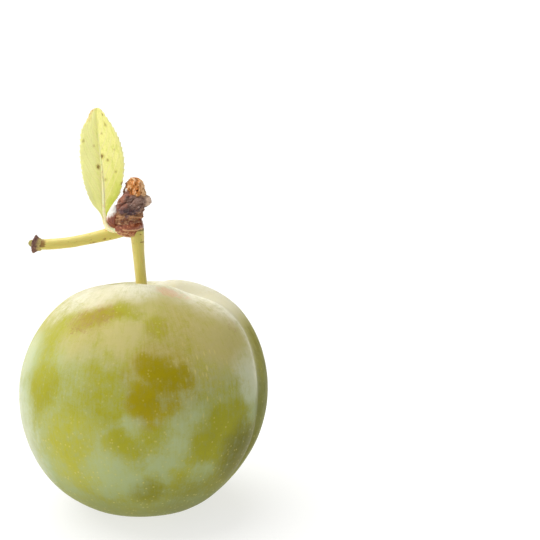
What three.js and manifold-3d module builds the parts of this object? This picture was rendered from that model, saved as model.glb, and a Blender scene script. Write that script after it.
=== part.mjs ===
// A greengage plum as it was picked: the fruit with its stalk, the short woody spur that the stalk grows
// from, a second stalk whose fruit has gone, and one small toothed leaf.
//
// Millimetres, +Z up. The origin is on the small flat spot that the fruit rests on, straight below the
// fruit's middle, and -Y is the front. The fruit leans a little backwards, so everything is shaped in the
// fruit's own frame (origin at the fruit's middle, +Z towards its stalk) and one group leans and lifts it.

import * as THREE from "three";
import { mergeVertices } from "three/addons/utils/BufferGeometryUtils.js";
import Module from "manifold-3d";

const wasm = await Module();
wasm.setup();

const { PI, abs, cos, exp, hypot, max, min, sin } = Math;
const rad = THREE.MathUtils.degToRad;
const v3 = (x, y, z) => new THREE.Vector3(x, y, z);
const smooth = THREE.MathUtils.smoothstep;

// ---------------------------------------------------------------- driving dimensions

const LEAN = rad(11); // how far the stalk end leans back from upright
const MIDDLE_HEIGHT = 18.7; // the fruit's middle above the surface it rests on
const CLEARANCE = 0.25; // gap between a stem and the socket it stands in
const WELD = 1e-4; // points nearer than this are one
const TURNED_AROUND = 12; // sides of a turned shape
const GROUND_SIZE = 60; // edge of the block that stands for the surface

const FRUIT = {
  radius: 20.9, // half the width across the cheeks
  depthShare: 0.97, // front to back against side to side
  cavityDepth: 4.2, // the hollow that the stalk stands in
  cavityWidth: 3.7,
  cavityX: 0.1,
  cavitySquareness: 2.4, // 2 is a bell, more is a flatter floor with steeper sides
  footBlend: 1.3, // height over which the skin flattens towards the resting spot
  footSink: 0.25,
  ringsBody: 24,
  ringsCrown: 12,
  crownEdge: rad(28), // the angle from the stalk end where the crown's closer rings begin
  around: 60,
  crowding: 0.74, // how much closer the points stand near the groove
};

// The groove down one side, from the stalk end to the far end. Polar angles are measured from the stalk end.
const SUTURE = {
  azimuth: rad(-24), // which way it faces: 0 is right, -90 is the front
  twist: rad(15), // how much further round it runs near the stalk
  twistFades: [rad(15), rad(95)],
  width: 1.05,
  widening: 0.9, // how much wider it is over the shoulder
  wideningPolar: rad(42),
  wideningSpread: rad(18),
  crownDepth: 1.15, // its deepest stretch, near the stalk
  crownPolar: rad(17),
  crownSpread: rad(19),
  flankDepth: 0.42,
  flankBegins: [rad(15), rad(50)],
  flankShallows: [rad(95), rad(150)],
  shallowing: 0.6, // share of the flank's depth lost on the far half
  ends: [rad(160), rad(176)],
  lipOffset: 3.4, // from the groove to the crest of the rounded lip beside it
  lipWidth: 2.1,
  lipShare: 0.45, // height of a lip against the depth of the groove
};

// Broad swellings (+) and slack places (-) of the fruit, each round a direction: the angle from the stalk
// end, the azimuth, how far it spreads, and its height in millimetres. With no azimuth it is a whole belt.
const SWELLINGS = [
  { polar: 0, spread: 21, height: -1.0 }, // crown
  { polar: 180, spread: 30, height: -1.2 }, // blossom end
  { polar: 46, azimuth: 0, spread: 27, height: 1.2 }, // shoulder beside the groove
  { polar: 52, azimuth: 180, spread: 34, height: 0.5 }, // the other shoulder
  { polar: 20, azimuth: 180, spread: 20, height: -0.4 },
  { polar: 31, azimuth: 180, spread: 14, height: 0.35 },
  { polar: 25, azimuth: -30, spread: 14, height: -1.5 }, // the near lobe dips beside the groove
  { polar: 18, azimuth: 28, spread: 9, height: -0.2 },
  { polar: 17, azimuth: -100, spread: 18, height: 1.0 }, // lip in front of the stalk
  { polar: 80, azimuth: 0, spread: 25, height: 0.3 },
  { polar: 128, azimuth: 0, spread: 31, height: -1.0 }, // slack lower cheek
  { polar: 105, azimuth: 180, spread: 40, height: -0.15 },
  { polar: 155, azimuth: 0, spread: 20, height: 0.2 },
  { polar: 84, azimuth: -100, spread: 40, height: 0.2 }, // front cheek
  { polar: 70, azimuth: 85, spread: 38, height: 0.25 }, // back cheek
];

const STALK = {
  path: [
    [0.15, 0, 14.2],
    [0.1, 0, 17.5],
    [-0.02, 0, 20.5],
    [-0.28, 0, 24.5],
    [-0.5, 0, 28.9],
  ],
  radius: 0.97,
  lobes: 0.03, // how far from round it is, as a share of its radius
  lobeCount: 3,
  lobeTwist: 5, // how far the lobes turn over its length, in radians
  footFlare: 0.3, // it widens where it meets the fruit
  footReach: 0.12, // share of its length
  headFlare: 0.25, // and where it leaves the spur
  headReach: 0.22,
  rings: 20,
  around: 16,
};

const SPUR = {
  // height above the fruit's middle, where the spine is (x), and the half-width there
  sections: [
    [27.45, -1.75, 0.5],
    [27.85, -1.9, 1.5],
    [28.5, -2.1, 2.15],
    [29.4, -2.25, 2.5],
    [30.6, -2.3, 2.65],
    [31.6, -2.1, 2.7],
    [32.6, -1.6, 2.6],
    [33.5, -0.95, 2.35],
    [34.4, -0.75, 2.05],
    [35.1, -0.7, 1.75],
    [36.0, -0.65, 1.6],
    [36.7, -0.65, 1.28],
    [37.2, -0.75, 0.85],
    [37.5, -0.8, 0.35],
  ],
  flattening: 0.96, // front to back against side to side
  roughness: 0.13,
  coarseness: 1.7, // how close together the unevenness comes
  torn: [34.6, 35.4], // between these heights the bark gives way to torn, rougher wood
  tornRoughness: 0.14,
  leastRadius: 0.2,
  capLift: 0.1, // how far the middle of each end stands out past its last ring
  rings: 38,
  around: 36,
};

// Knobs on the spur, where leaves and older stalks stood: height above the fruit's middle, azimuth,
// half-width, how far it stands out, and how tall it is against its width.
const KNOBS = [
  { height: 33.9, azimuth: -142, size: 1.0, proud: 0.7 },
  { height: 33.5, azimuth: -8, size: 1.1, proud: 0.66 },
  { height: 34.0, azimuth: -28, size: 0.6, proud: 0.3 },
  { height: 33.15, azimuth: -72, size: 1.0, proud: 0.5 },
  { height: 33.65, azimuth: -101, size: 0.5, proud: -0.3 }, // a pit
  { height: 32.3, azimuth: -50, size: 0.85, proud: 0.38 },
  { height: 32.45, azimuth: -108, size: 0.95, proud: 0.4 },
  { height: 33.4, azimuth: 62, size: 1.4, proud: 0.7 },
  { height: 32.6, azimuth: 128, size: 1.3, proud: 0.5 },
  { height: 31.6, azimuth: 40, size: 1.2, proud: 0.3 },
  { height: 31.0, azimuth: -143, size: 0.95, proud: 0.62, tall: 2.2 }, // a closed bud against the spur
];

// Dry bud scales round the foot of the spur, each a thin blunt tongue whose free edge points down: the
// height of the edge's lowest point, azimuth, half-width, how far the edge rises towards its sides, its
// slant, and how far it stands off. The longer inner scales come first.
const BUD_SCALES = [
  { tip: 27.8, azimuth: -122, wide: 2.5, rise: 0.5, slant: -0.6, proud: 0.14 },
  { tip: 27.65, azimuth: -38, wide: 2.5, rise: 0.9, slant: 0.12, proud: 0.12 },
  { tip: 27.8, azimuth: 45, wide: 2.5, rise: 0.9, slant: -0.1, proud: 0.12 },
  { tip: 27.75, azimuth: 130, wide: 2.5, rise: 0.9, slant: 0.15, proud: 0.12 },
  { tip: 28.5, azimuth: -134, wide: 2.2, rise: 0.4, slant: -0.75, proud: 0.42 },
  { tip: 28.65, azimuth: -68, wide: 2.2, rise: 0.5, slant: 0.1, proud: 0.4 },
  { tip: 28.8, azimuth: -4, wide: 2.0, rise: 0.6, slant: 0.1, proud: 0.3 },
  { tip: 28.8, azimuth: 66, wide: 2.1, rise: 0.7, slant: -0.15, proud: 0.34 },
  { tip: 28.9, azimuth: 136, wide: 2.0, rise: 0.7, slant: 0.1, proud: 0.34 },
];
const SCALE = {
  tall: 2.1, // from the tip of the free edge up to where it grows out of the spur
  thickness: 0.32,
  bluntness: 3, // how square the free edge is
  lift: 0.1, // how far its middle stands off the spur
  edgeFall: 4, // how suddenly it stops standing off towards its sides
  tuckTop: 0.3, // how far its top and its sides are tucked in
  tuckSides: 0.15,
  leastGirth: 1.6, // the slimmest that it wraps round
  seat: 0.35, // how much slimmer the spur is behind the scales
  seatFades: [28.8, 30.2],
  rows: 5,
  columns: 7,
};

// Low ridges round the spur, left by scales that fell.
const RIDGES = {
  heights: [30.15, 30.7, 31.2, 31.7],
  proud: 0.13,
  width: 0.2,
  tilt: 0.22, // how far each tilts
  turn: 5, // how much the way they tilt turns from one to the next, in radians a millimetre
};

const BARE_STALK = {
  path: [
    [-2.7, 0.75, 28.75],
    [-5.02, 0.65, 28.1],
    [-8.39, 0.5, 27.38],
    [-11.75, 0.35, 26.82],
    [-15.09, 0.3, 26.58],
    [-16.9, 0.4, 26.62],
    [-17.75, 0.5, 26.76],
  ],
  radius: 0.94,
  lobes: 0.03,
  lobeCount: 2,
  rootFlare: 0.22, // it widens towards the spur
  rootReach: 0.28, // share of its length
  cupRadius: 1.5, // the flared end that held the lost fruit
  cupLength: 0.75,
  // the cup's hollow and the nub in its middle: radius, and height past the stalk's end
  hollow: [
    [0, -0.3],
    [1.05, -0.18],
    [1.29, 0.5],
    [0, 0.5],
  ],
  nub: [
    [0, -1],
    [0.68, -1],
    [0.66, 0.5],
    [0.48, 0.9],
    [0, 1.08],
  ],
  rings: 30,
  around: 16,
};

const LEAF = {
  // midrib, from inside the spur to the tip
  rib: [
    [-3.9, -1.15, 28.95],
    [-4.45, -1.27, 28.95],
    [-4.95, -1.34, 29.1],
    [-5.38, -1.35, 29.48],
    [-5.68, -1.3, 30.05],
    [-5.84, -1.2, 30.8],
    [-5.91, -1.08, 31.7],
    [-5.93, -0.93, 32.9],
    [-5.96, -0.6, 35.5],
    [-6.12, 0.1, 39.2],
    [-6.48, 1.1, 43.0],
    [-6.66, 2.2, 46.5],
    [-6.78, 3.0, 49.25],
  ],
  bladeStart: 0.13, // share of the rib where the blade begins
  // outline of each half: share of the blade's length, and its half-width there
  leftOutline: [
    [0, 0.35],
    [0.03, 0.48],
    [0.065, 0.8],
    [0.135, 1.95],
    [0.22, 2.72],
    [0.353, 3.4],
    [0.534, 3.6],
    [0.677, 3.3],
    [0.795, 2.9],
    [0.905, 1.72],
    [0.972, 1.1],
    [1, 0.35],
  ],
  rightOutline: [
    [0, 0.35],
    [0.03, 0.45],
    [0.065, 0.7],
    [0.135, 1.6],
    [0.22, 2.8],
    [0.353, 3.55],
    [0.51, 3.95],
    [0.677, 3.6],
    [0.815, 2.6],
    [0.905, 1.62],
    [0.972, 0.9],
    [1, 0.35],
  ],
  thickness: 0.6,
  leftFold: rad(20), // how far each half turns up towards the front
  rightFold: rad(10),
  teeth: 21,
  toothDepth: 0.2,
  toothedFrom: [0.1, 0.24], // shares of the blade where the teeth begin and end
  toothedTo: [0.94, 1],
  samplesPerTooth: 3,
  across: 3, // strips in each half
  leastWidth: 0.12,
  foldEasing: 0.35, // how much flatter the fold is at the edge
  wave: 0.16, // how far the edges ripple
  waveRate: 9,
  leftWavePhase: 2,
  petioleRadius: 0.48,
  petioleFades: [0.14, 0.3], // shares of the rib
  rootFlare: 0.15, // the petiole widens where it meets the spur
  rootReach: 0.07,
  ribRadius: 0.38,
  ribTipRadius: 0.33,
  ribRings: 34,
  ribAround: 8,
};

const COLOURS = {
  skin: { color: 0xb4b463, roughness: 0.5 },
  stalk: { color: 0xc3bf6a, roughness: 0.6 },
  bark: { color: 0x75563f, roughness: 0.85 },
  leaf: { color: 0xdfe076, roughness: 0.55 },
};

// ---------------------------------------------------------------- shared helpers

// Skins a stack of rings, listed from one end to the other and anticlockwise seen from the far end, into
// a closed geometry whose ends come together in the points first and last.
function skin(first, rings, last) {
  const around = rings[0].length;
  const points = [first, ...rings.flat(), last];
  const index = [];
  const at = (ring, k) => 1 + ring * around + (k % around);
  const end = points.length - 1;
  for (let k = 0; k < around; k += 1) {
    index.push(0, at(0, k + 1), at(0, k));
    for (let ring = 0; ring + 1 < rings.length; ring += 1) {
      index.push(at(ring, k), at(ring, k + 1), at(ring + 1, k + 1));
      index.push(at(ring, k), at(ring + 1, k + 1), at(ring + 1, k));
    }
    index.push(at(rings.length - 1, k), at(rings.length - 1, k + 1), end);
  }
  const geometry = new THREE.BufferGeometry().setFromPoints(points);
  geometry.setIndex(index);
  return geometry;
}

// A smooth curve through points given as [x, y, z].
function curveThrough(path) {
  return new THREE.CatmullRomCurve3(path.map((p) => v3(...p)));
}

// A closed tube along a curve. radiusAt(share, angle) gives its radius, and capLift is how far the middle
// of each end stands out past its last ring.
function tube(curve, radiusAt, rings, around, capLift = 0) {
  const frames = curve.computeFrenetFrames(rings - 1);
  const loops = [];
  for (let ring = 0; ring < rings; ring += 1) {
    const share = ring / (rings - 1);
    const middle = curve.getPointAt(share);
    loops.push(
      Array.from({ length: around }, (_, k) => {
        const angle = (2 * PI * k) / around;
        const radius = radiusAt(share, angle);
        return middle
          .clone()
          .addScaledVector(frames.normals[ring], radius * cos(angle))
          .addScaledVector(frames.binormals[ring], radius * sin(angle));
      }),
    );
  }
  const start = curve.getPointAt(0).addScaledVector(frames.tangents[0], -capLift);
  const finish = curve.getPointAt(1).addScaledVector(frames.tangents[rings - 1], capLift);
  return skin(start, loops, finish);
}

// Closes two like grids of points, an upper and a lower face, into a thin sheet.
function sheet(upper, lower, columns) {
  const rows = upper.length / columns;
  const below = upper.length;
  const index = [];
  for (let row = 0; row + 1 < rows; row += 1)
    for (let column = 0; column + 1 < columns; column += 1) {
      const [a, b] = [row * columns + column, row * columns + column + 1];
      const [c, d] = [b + columns, a + columns];
      index.push(a, b, c, a, c, d);
      index.push(below + a, below + c, below + b, below + a, below + d, below + c);
    }
  const rim = [];
  for (let column = 0; column + 1 < columns; column += 1) rim.push(column);
  for (let row = 0; row + 1 < rows; row += 1) rim.push(row * columns + columns - 1);
  for (let column = columns - 1; column > 0; column -= 1) rim.push((rows - 1) * columns + column);
  for (let row = rows - 1; row > 0; row -= 1) rim.push(row * columns);
  rim.forEach((a, k) => {
    const b = rim[(k + 1) % rim.length];
    index.push(b, a, below + a, b, below + a, below + b);
  });
  const geometry = new THREE.BufferGeometry().setFromPoints([...upper, ...lower]);
  geometry.setIndex(index);
  return geometry;
}

// The value at a place in a list of [place, value, ...] rows, on a smooth curve through them all. column
// picks which value.
function along(table, place, column = 1) {
  const found = table.findIndex((row) => row[0] >= place);
  const next = found < 0 ? table.length - 1 : max(found, 1);
  const row = (k) => table[min(max(k, 0), table.length - 1)];
  const [before, start, end, after] = [row(next - 2), row(next - 1), row(next), row(next + 1)];
  const slope = (a, b) => (b[column] - a[column]) / (b[0] - a[0] || 1);
  const span = end[0] - start[0];
  const t = THREE.MathUtils.clamp((place - start[0]) / span, 0, 1);
  const value = start[column] * (1 + 2 * t) * (1 - t) ** 2 + end[column] * t * t * (3 - 2 * t);
  const bend = slope(before, end) * t * (1 - t) ** 2 - slope(start, after) * t * t * (1 - t);
  return value + span * bend;
}

function solid(geometry) {
  const merged = mergeVertices(geometry, WELD);
  return new wasm.Manifold(
    new wasm.Mesh({
      numProp: 3,
      vertProperties: new Float32Array(merged.getAttribute("position").array),
      triVerts: new Uint32Array(merged.index.array),
    }),
  );
}

// Drops loose scraps, and fills hollows that joining sealed.
function largestPiece(manifold) {
  return manifold.decompose().reduce((a, b) => (b.volume() > a.volume() ? b : a));
}

function geometryOf(manifold) {
  const { vertProperties, triVerts } = manifold.getMesh();
  const geometry = new THREE.BufferGeometry();
  geometry.setAttribute("position", new THREE.BufferAttribute(vertProperties, 3));
  geometry.setIndex(new THREE.BufferAttribute(triVerts, 1));
  geometry.computeVertexNormals();
  return geometry;
}

// A bell-shaped hump: 1 at 0, almost nothing past 2.
const bell = (x) => exp(-x * x);

// A round knob: 1 at 0, and nothing from 1 outwards.
const dome = (x) => max(1 - x * x, 0) ** 0.5;

// The turn from one azimuth to another, between -PI and PI.
function turnBetween(from, to) {
  const turn = to - from;
  return turn - 2 * PI * Math.round(turn / (2 * PI));
}

// Slow unevenness between about -1 and 1, the same each time, from a few crossed waves.
function unevenness(x, y, z) {
  return (
    (sin(1.7 * x + 2.3 * y + 0.4) +
      sin(2.9 * y - 1.9 * z + 1.7) +
      sin(2.3 * z + 1.3 * x - 0.8) +
      sin(3.7 * x - 3.1 * z + 2.6 * y)) /
    4
  );
}

// ---------------------------------------------------------------- fruit

const UP = v3(0, -sin(LEAN), cos(LEAN)); // straight up, in the fruit's frame

function directionOf(polar, azimuth) {
  return v3(sin(polar) * cos(azimuth), sin(polar) * sin(azimuth), cos(polar));
}

// Where the groove runs, at an angle from the stalk end.
function sutureAzimuthAt(polar) {
  return SUTURE.azimuth + SUTURE.twist * (1 - smooth(polar, ...SUTURE.twistFades));
}

function sutureWidth(polar) {
  return SUTURE.width + SUTURE.widening * bell((polar - SUTURE.wideningPolar) / SUTURE.wideningSpread);
}

// How deep the groove is at an angle from the stalk end: deepest at the crown, fading to the far end.
function sutureDepth(polar) {
  const crown = SUTURE.crownDepth * bell((polar - SUTURE.crownPolar) / SUTURE.crownSpread);
  const shallower = 1 - SUTURE.shallowing * smooth(polar, ...SUTURE.flankShallows);
  const flank = SUTURE.flankDepth * smooth(polar, ...SUTURE.flankBegins) * shallower;
  return (crown + flank) * (1 - smooth(polar, ...SUTURE.ends));
}

function fruitPoint(polar, azimuth) {
  const way = directionOf(polar, azimuth);
  let radius = FRUIT.radius;
  for (const swell of SWELLINGS) {
    const apart =
      swell.azimuth === undefined
        ? abs(polar - rad(swell.polar))
        : way.angleTo(directionOf(rad(swell.polar), rad(swell.azimuth)));
    radius += swell.height * bell(apart / rad(swell.spread));
  }
  const across = radius * sin(polar) * turnBetween(sutureAzimuthAt(polar), azimuth);
  const depth = sutureDepth(polar);
  radius -= depth * bell(across / sutureWidth(polar));
  radius += SUTURE.lipShare * depth * bell((abs(across) - SUTURE.lipOffset) / SUTURE.lipWidth);
  const point = way.multiplyScalar(radius);
  point.y *= FRUIT.depthShare;
  const fromStalk = hypot(point.x - FRUIT.cavityX, point.y);
  const sunk = exp(-((fromStalk / FRUIT.cavityWidth) ** FRUIT.cavitySquareness));
  if (polar < PI / 2) point.z -= FRUIT.cavityDepth * sunk;
  return settle(point);
}

// Flattens the underside softly towards the resting spot, as the fruit's weight does.
function settle(point) {
  const height = point.dot(UP) + MIDDLE_HEIGHT + FRUIT.footSink;
  const mix = max(FRUIT.footBlend - abs(height), 0) / FRUIT.footBlend;
  const settled = max(height, 0) + (mix * mix * FRUIT.footBlend) / 4;
  return point.addScaledVector(UP, settled - height);
}

// Azimuths that crowd together near the groove, so that its narrow walls keep their shape.
function ringAzimuths(polar) {
  return Array.from({ length: FRUIT.around }, (_, k) => {
    const t = (2 * k) / FRUIT.around - 1;
    return sutureAzimuthAt(polar) + PI * t - FRUIT.crowding * sin(PI * t);
  });
}

function fruitSolid() {
  const polars = [];
  for (let k = 1; k <= FRUIT.ringsBody; k += 1)
    polars.push(PI + ((FRUIT.crownEdge - PI) * k) / (FRUIT.ringsBody + 1));
  for (let k = 0; k < FRUIT.ringsCrown; k += 1)
    polars.push(FRUIT.crownEdge * (1 - k / FRUIT.ringsCrown));
  const rings = polars.map((polar) => ringAzimuths(polar).map((azimuth) => fruitPoint(polar, azimuth)));
  return solid(skin(fruitPoint(PI, 0), rings, fruitPoint(0, 0)));
}

// The matrix that leans the fruit's frame back and lifts it onto the surface.
function leaning() {
  return new THREE.Matrix4()
    .makeTranslation(0, 0, MIDDLE_HEIGHT)
    .multiply(new THREE.Matrix4().makeRotationX(-LEAN));
}

// Everything below the surface that the fruit rests on, in the fruit's frame.
function ground() {
  const box = new THREE.BoxGeometry(GROUND_SIZE, GROUND_SIZE, GROUND_SIZE);
  box.deleteAttribute("normal");
  box.deleteAttribute("uv");
  box.translate(0, 0, -GROUND_SIZE / 2);
  box.applyMatrix4(leaning().invert());
  return solid(box);
}

// ---------------------------------------------------------------- stalks

// The fruit's stalk. extra widens it, to cut the sockets that it stands in.
function stalkSolid(extra = 0) {
  const radiusAt = (share, angle) => {
    const foot = STALK.footFlare * bell(share / STALK.footReach);
    const head = STALK.headFlare * bell((1 - share) / STALK.headReach);
    const lobed = 1 + STALK.lobes * cos(STALK.lobeCount * angle + STALK.lobeTwist * share);
    return (STALK.radius + foot + head) * lobed + extra;
  };
  return solid(tube(curveThrough(STALK.path), radiusAt, STALK.rings, STALK.around, extra));
}

// The stalk whose fruit has gone. Its far end flares into a shallow cup with a nub in the middle.
function bareStalkSolid(extra = 0) {
  const curve = curveThrough(BARE_STALK.path);
  const length = curve.getLength();
  const radiusAt = (share, angle) => {
    const root = BARE_STALK.rootFlare * bell(share / BARE_STALK.rootReach);
    const fromEnd = (1 - share) * length;
    const flare = (BARE_STALK.cupRadius - BARE_STALK.radius) * bell(fromEnd / BARE_STALK.cupLength);
    const lobed = 1 + BARE_STALK.lobes * cos(BARE_STALK.lobeCount * angle);
    return BARE_STALK.radius * lobed + root + flare + extra;
  };
  const stem = solid(tube(curve, radiusAt, BARE_STALK.rings, BARE_STALK.around, extra));
  if (extra > 0) return stem;
  const tip = curve.getPointAt(1);
  const outwards = curve.getTangentAt(1);
  const hollow = turned(BARE_STALK.hollow);
  const nub = turned(BARE_STALK.nub);
  return stem.subtract(stand(hollow, tip, outwards)).add(stand(nub, tip, outwards));
}

// A turned shape from [radius, height] pairs that leave the axis and come back to it.
function turned(profile) {
  const points = profile.map((p) => new THREE.Vector2(...p));
  const geometry = new THREE.LatheGeometry(points, TURNED_AROUND);
  geometry.deleteAttribute("normal");
  geometry.deleteAttribute("uv");
  return geometry;
}

// Stands a turned shape, whose axis is +Y, on a point and along a direction.
function stand(geometry, point, way) {
  geometry.applyQuaternion(new THREE.Quaternion().setFromUnitVectors(v3(0, 1, 0), way));
  geometry.translate(point.x, point.y, point.z);
  return solid(geometry);
}

// ---------------------------------------------------------------- spur

// How far the bark stands out from the spine, at a height above the fruit's middle and an azimuth.
function spurRadius(height, azimuth) {
  const girth = along(SPUR.sections, height, 2);
  let radius = girth - SCALE.seat * (1 - smooth(height, ...SCALE.seatFades));
  for (const knob of KNOBS) {
    const across = turnBetween(rad(knob.azimuth), azimuth) * girth;
    const up = (height - knob.height) / (knob.tall ?? 1);
    radius += knob.proud * dome(hypot(across, up) / knob.size);
  }
  for (const ridge of RIDGES.heights) {
    const tilt = RIDGES.tilt * sin(azimuth + RIDGES.turn * ridge);
    radius += RIDGES.proud * bell((height - ridge - tilt) / RIDGES.width);
  }
  const rough = SPUR.roughness + SPUR.tornRoughness * smooth(height, ...SPUR.torn);
  const out = SPUR.coarseness * girth;
  const waves = unevenness(out * cos(azimuth), out * sin(azimuth), SPUR.coarseness * height);
  return max(radius + rough * waves, SPUR.leastRadius);
}

function spurSolid() {
  const first = SPUR.sections[0];
  const last = SPUR.sections[SPUR.sections.length - 1];
  const rings = [];
  for (let ring = 0; ring < SPUR.rings; ring += 1) {
    const height = first[0] + ((last[0] - first[0]) * ring) / (SPUR.rings - 1);
    const middle = along(SPUR.sections, height);
    rings.push(
      Array.from({ length: SPUR.around }, (_, k) => {
        const azimuth = (2 * PI * k) / SPUR.around;
        const radius = spurRadius(height, azimuth);
        return v3(middle + radius * cos(azimuth), SPUR.flattening * radius * sin(azimuth), height);
      }),
    );
  }
  const foot = v3(first[1], 0, first[0] - SPUR.capLift);
  const tip = v3(last[1], 0, last[0] + SPUR.capLift);
  return solid(skin(foot, rings, tip));
}

// One face of a bud scale, row by row from its free edge up. depth is how far it lies behind the outside.
function scaleFace(scale, depth) {
  const points = [];
  for (let row = 0; row < SCALE.rows; row += 1)
    for (let column = 0; column < SCALE.columns; column += 1) {
      const u = (2 * column) / (SCALE.columns - 1) - 1;
      const v = row / (SCALE.rows - 1);
      const edge = scale.tip + scale.rise * abs(u) ** SCALE.bluntness + scale.slant * u;
      const height = edge + v * (scale.tip + SCALE.tall - edge);
      const girth = along(SPUR.sections, height, 2);
      const azimuth = rad(scale.azimuth) + (scale.wide * u) / max(girth, SCALE.leastGirth);
      const standing = SCALE.lift + scale.proud * (1 - v) * (1 - abs(u) ** SCALE.edgeFall);
      const tuck = SCALE.tuckTop * v * v + SCALE.tuckSides * u * u;
      const radius = girth + standing - tuck - depth;
      const middle = along(SPUR.sections, height);
      points.push(v3(middle + radius * cos(azimuth), SPUR.flattening * radius * sin(azimuth), height));
    }
  return points;
}

function scaleSolid(scale) {
  return solid(sheet(scaleFace(scale, 0), scaleFace(scale, SCALE.thickness), SCALE.columns));
}

// ---------------------------------------------------------------- leaf

// How far a tooth of the blade's edge stands out or in, leaning towards the tip.
function tooth(share) {
  const within = (share * LEAF.teeth) % 1;
  const toothed = smooth(share, ...LEAF.toothedFrom) * (1 - smooth(share, ...LEAF.toothedTo));
  return LEAF.toothDepth * (within - 0.5) * toothed;
}

// The points of one face of the blade, row by row from its foot to its tip. lift is the distance of the
// face from the blade's middle surface.
function bladeFace(lift) {
  const rib = curveThrough(LEAF.rib);
  const steps = LEAF.teeth * LEAF.samplesPerTooth;
  const points = [];
  for (let step = 0; step <= steps; step += 1) {
    const share = step / steps;
    const at = LEAF.bladeStart + (1 - LEAF.bladeStart) * share;
    const middle = rib.getPointAt(at);
    const forward = rib.getTangentAt(at);
    const leftwards = v3(0, 1, 0).cross(forward).negate().normalize();
    const front = forward.clone().cross(leftwards).normalize();
    for (let column = -LEAF.across; column <= LEAF.across; column += 1) {
      const across = abs(column) / LEAF.across;
      const onLeft = column < 0;
      const outline = onLeft ? LEAF.leftOutline : LEAF.rightOutline;
      const fold = onLeft ? LEAF.leftFold : LEAF.rightFold;
      const out = across * max(along(outline, share) + tooth(share), LEAF.leastWidth);
      const phase = LEAF.waveRate * share + (onLeft ? LEAF.leftWavePhase : 0);
      const up = out * sin(fold) * (1 - LEAF.foldEasing * across) + LEAF.wave * sin(phase) * across ** 2;
      points.push(
        middle
          .clone()
          .addScaledVector(leftwards, (onLeft ? 1 : -1) * out * cos(fold))
          .addScaledVector(front, up + lift),
      );
    }
  }
  return points;
}

// The leaf's stalk and midrib, one tapering stem. extra widens it, to cut its socket.
function ribSolid(extra = 0) {
  const radiusAt = (share) => {
    const taper = LEAF.ribRadius + (LEAF.ribTipRadius - LEAF.ribRadius) * share;
    const petiole = (LEAF.petioleRadius - LEAF.ribRadius) * (1 - smooth(share, ...LEAF.petioleFades));
    return taper + petiole + LEAF.rootFlare * bell(share / LEAF.rootReach) + extra;
  };
  return solid(tube(curveThrough(LEAF.rib), radiusAt, LEAF.ribRings, LEAF.ribAround, extra));
}

function leafSolid() {
  const half = LEAF.thickness / 2;
  const blade = solid(sheet(bladeFace(half), bladeFace(-half), 2 * LEAF.across + 1));
  return blade.add(ribSolid());
}

// ---------------------------------------------------------------- assembly

function node(name, manifold, finish) {
  const material = new THREE.MeshStandardMaterial({ ...finish, metalness: 0 });
  const mesh = new THREE.Mesh(geometryOf(manifold), material);
  mesh.name = name;
  return mesh;
}

const plum = fruitSolid().subtract(ground()).subtract(stalkSolid(CLEARANCE));
const scaledSpur = BUD_SCALES.reduce((body, scale) => body.add(scaleSolid(scale)), spurSolid());
const spur = largestPiece(
  scaledSpur
    .subtract(stalkSolid(CLEARANCE))
    .subtract(bareStalkSolid(CLEARANCE))
    .subtract(ribSolid(CLEARANCE)),
);

const leaningFruit = new THREE.Group();
leaningFruit.add(
  node("plum", plum, COLOURS.skin),
  node("fruit_stalk", stalkSolid(), COLOURS.stalk),
  node("spur", spur, COLOURS.bark),
  node("bare_stalk", bareStalkSolid(), COLOURS.stalk),
  node("leaf", leafSolid(), COLOURS.leaf),
);
leaningFruit.applyMatrix4(leaning());

const part = new THREE.Group();
part.add(leaningFruit);

export default part;
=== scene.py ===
"""Dresses a greengage plum: the fruit, its stalk, the woody spur with its bud scales, a spent stalk and a
toothed leaf, on a plain pale floor. Laid out as an add-on: each part of the plum is an operator, and its
sizes and colours are properties."""

import math

import bpy
import numpy as np
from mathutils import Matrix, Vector, noise


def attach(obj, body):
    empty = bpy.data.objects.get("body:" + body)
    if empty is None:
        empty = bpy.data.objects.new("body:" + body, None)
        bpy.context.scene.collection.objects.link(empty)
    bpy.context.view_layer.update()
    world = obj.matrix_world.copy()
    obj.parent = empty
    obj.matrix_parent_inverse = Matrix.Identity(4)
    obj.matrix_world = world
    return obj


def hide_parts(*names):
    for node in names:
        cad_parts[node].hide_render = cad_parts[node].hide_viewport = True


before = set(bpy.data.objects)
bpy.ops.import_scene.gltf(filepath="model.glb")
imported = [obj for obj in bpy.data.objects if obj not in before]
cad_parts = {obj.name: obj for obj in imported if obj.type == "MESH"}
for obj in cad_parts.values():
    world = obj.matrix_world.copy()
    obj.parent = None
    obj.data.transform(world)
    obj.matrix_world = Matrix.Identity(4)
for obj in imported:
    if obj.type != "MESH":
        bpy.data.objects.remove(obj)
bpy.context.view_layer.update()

bl_info = {
    "name": "Greengage Plum",
    "version": (1, 0, 0),
    "blender": (4, 5, 0),
    "location": "View3D > Sidebar > Plum",
    "description": "A greengage plum with its stalk, spur, bud scales and leaf",
    "category": "Add Mesh",
}

MM = 0.001


def rad(degrees):
    return math.radians(degrees)


def tint(red, green, blue):
    """A colour picked on a screen, 0 to 255, as the linear colour that shaders take."""
    shares = [c / 255 for c in (red, green, blue)]
    linear = [c / 12.92 if c <= 0.04045 else ((c + 0.055) / 1.055) ** 2.4 for c in shares]
    return (*linear, 1.0)


# ------------------------------------------------------------------ node trees as Python expressions


MIX_FIRST, MIX_SECOND, MIX_RESULT = 6, 7, 2  # the colour sockets of a Mix node


def is_number(value):
    return isinstance(value, (int, float)) or (isinstance(value, Wire) and value.holds_number)


def common(values):
    """The tree that the wires among some values belong to."""
    return next(v.tree for v in values if isinstance(v, Wire))


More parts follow.
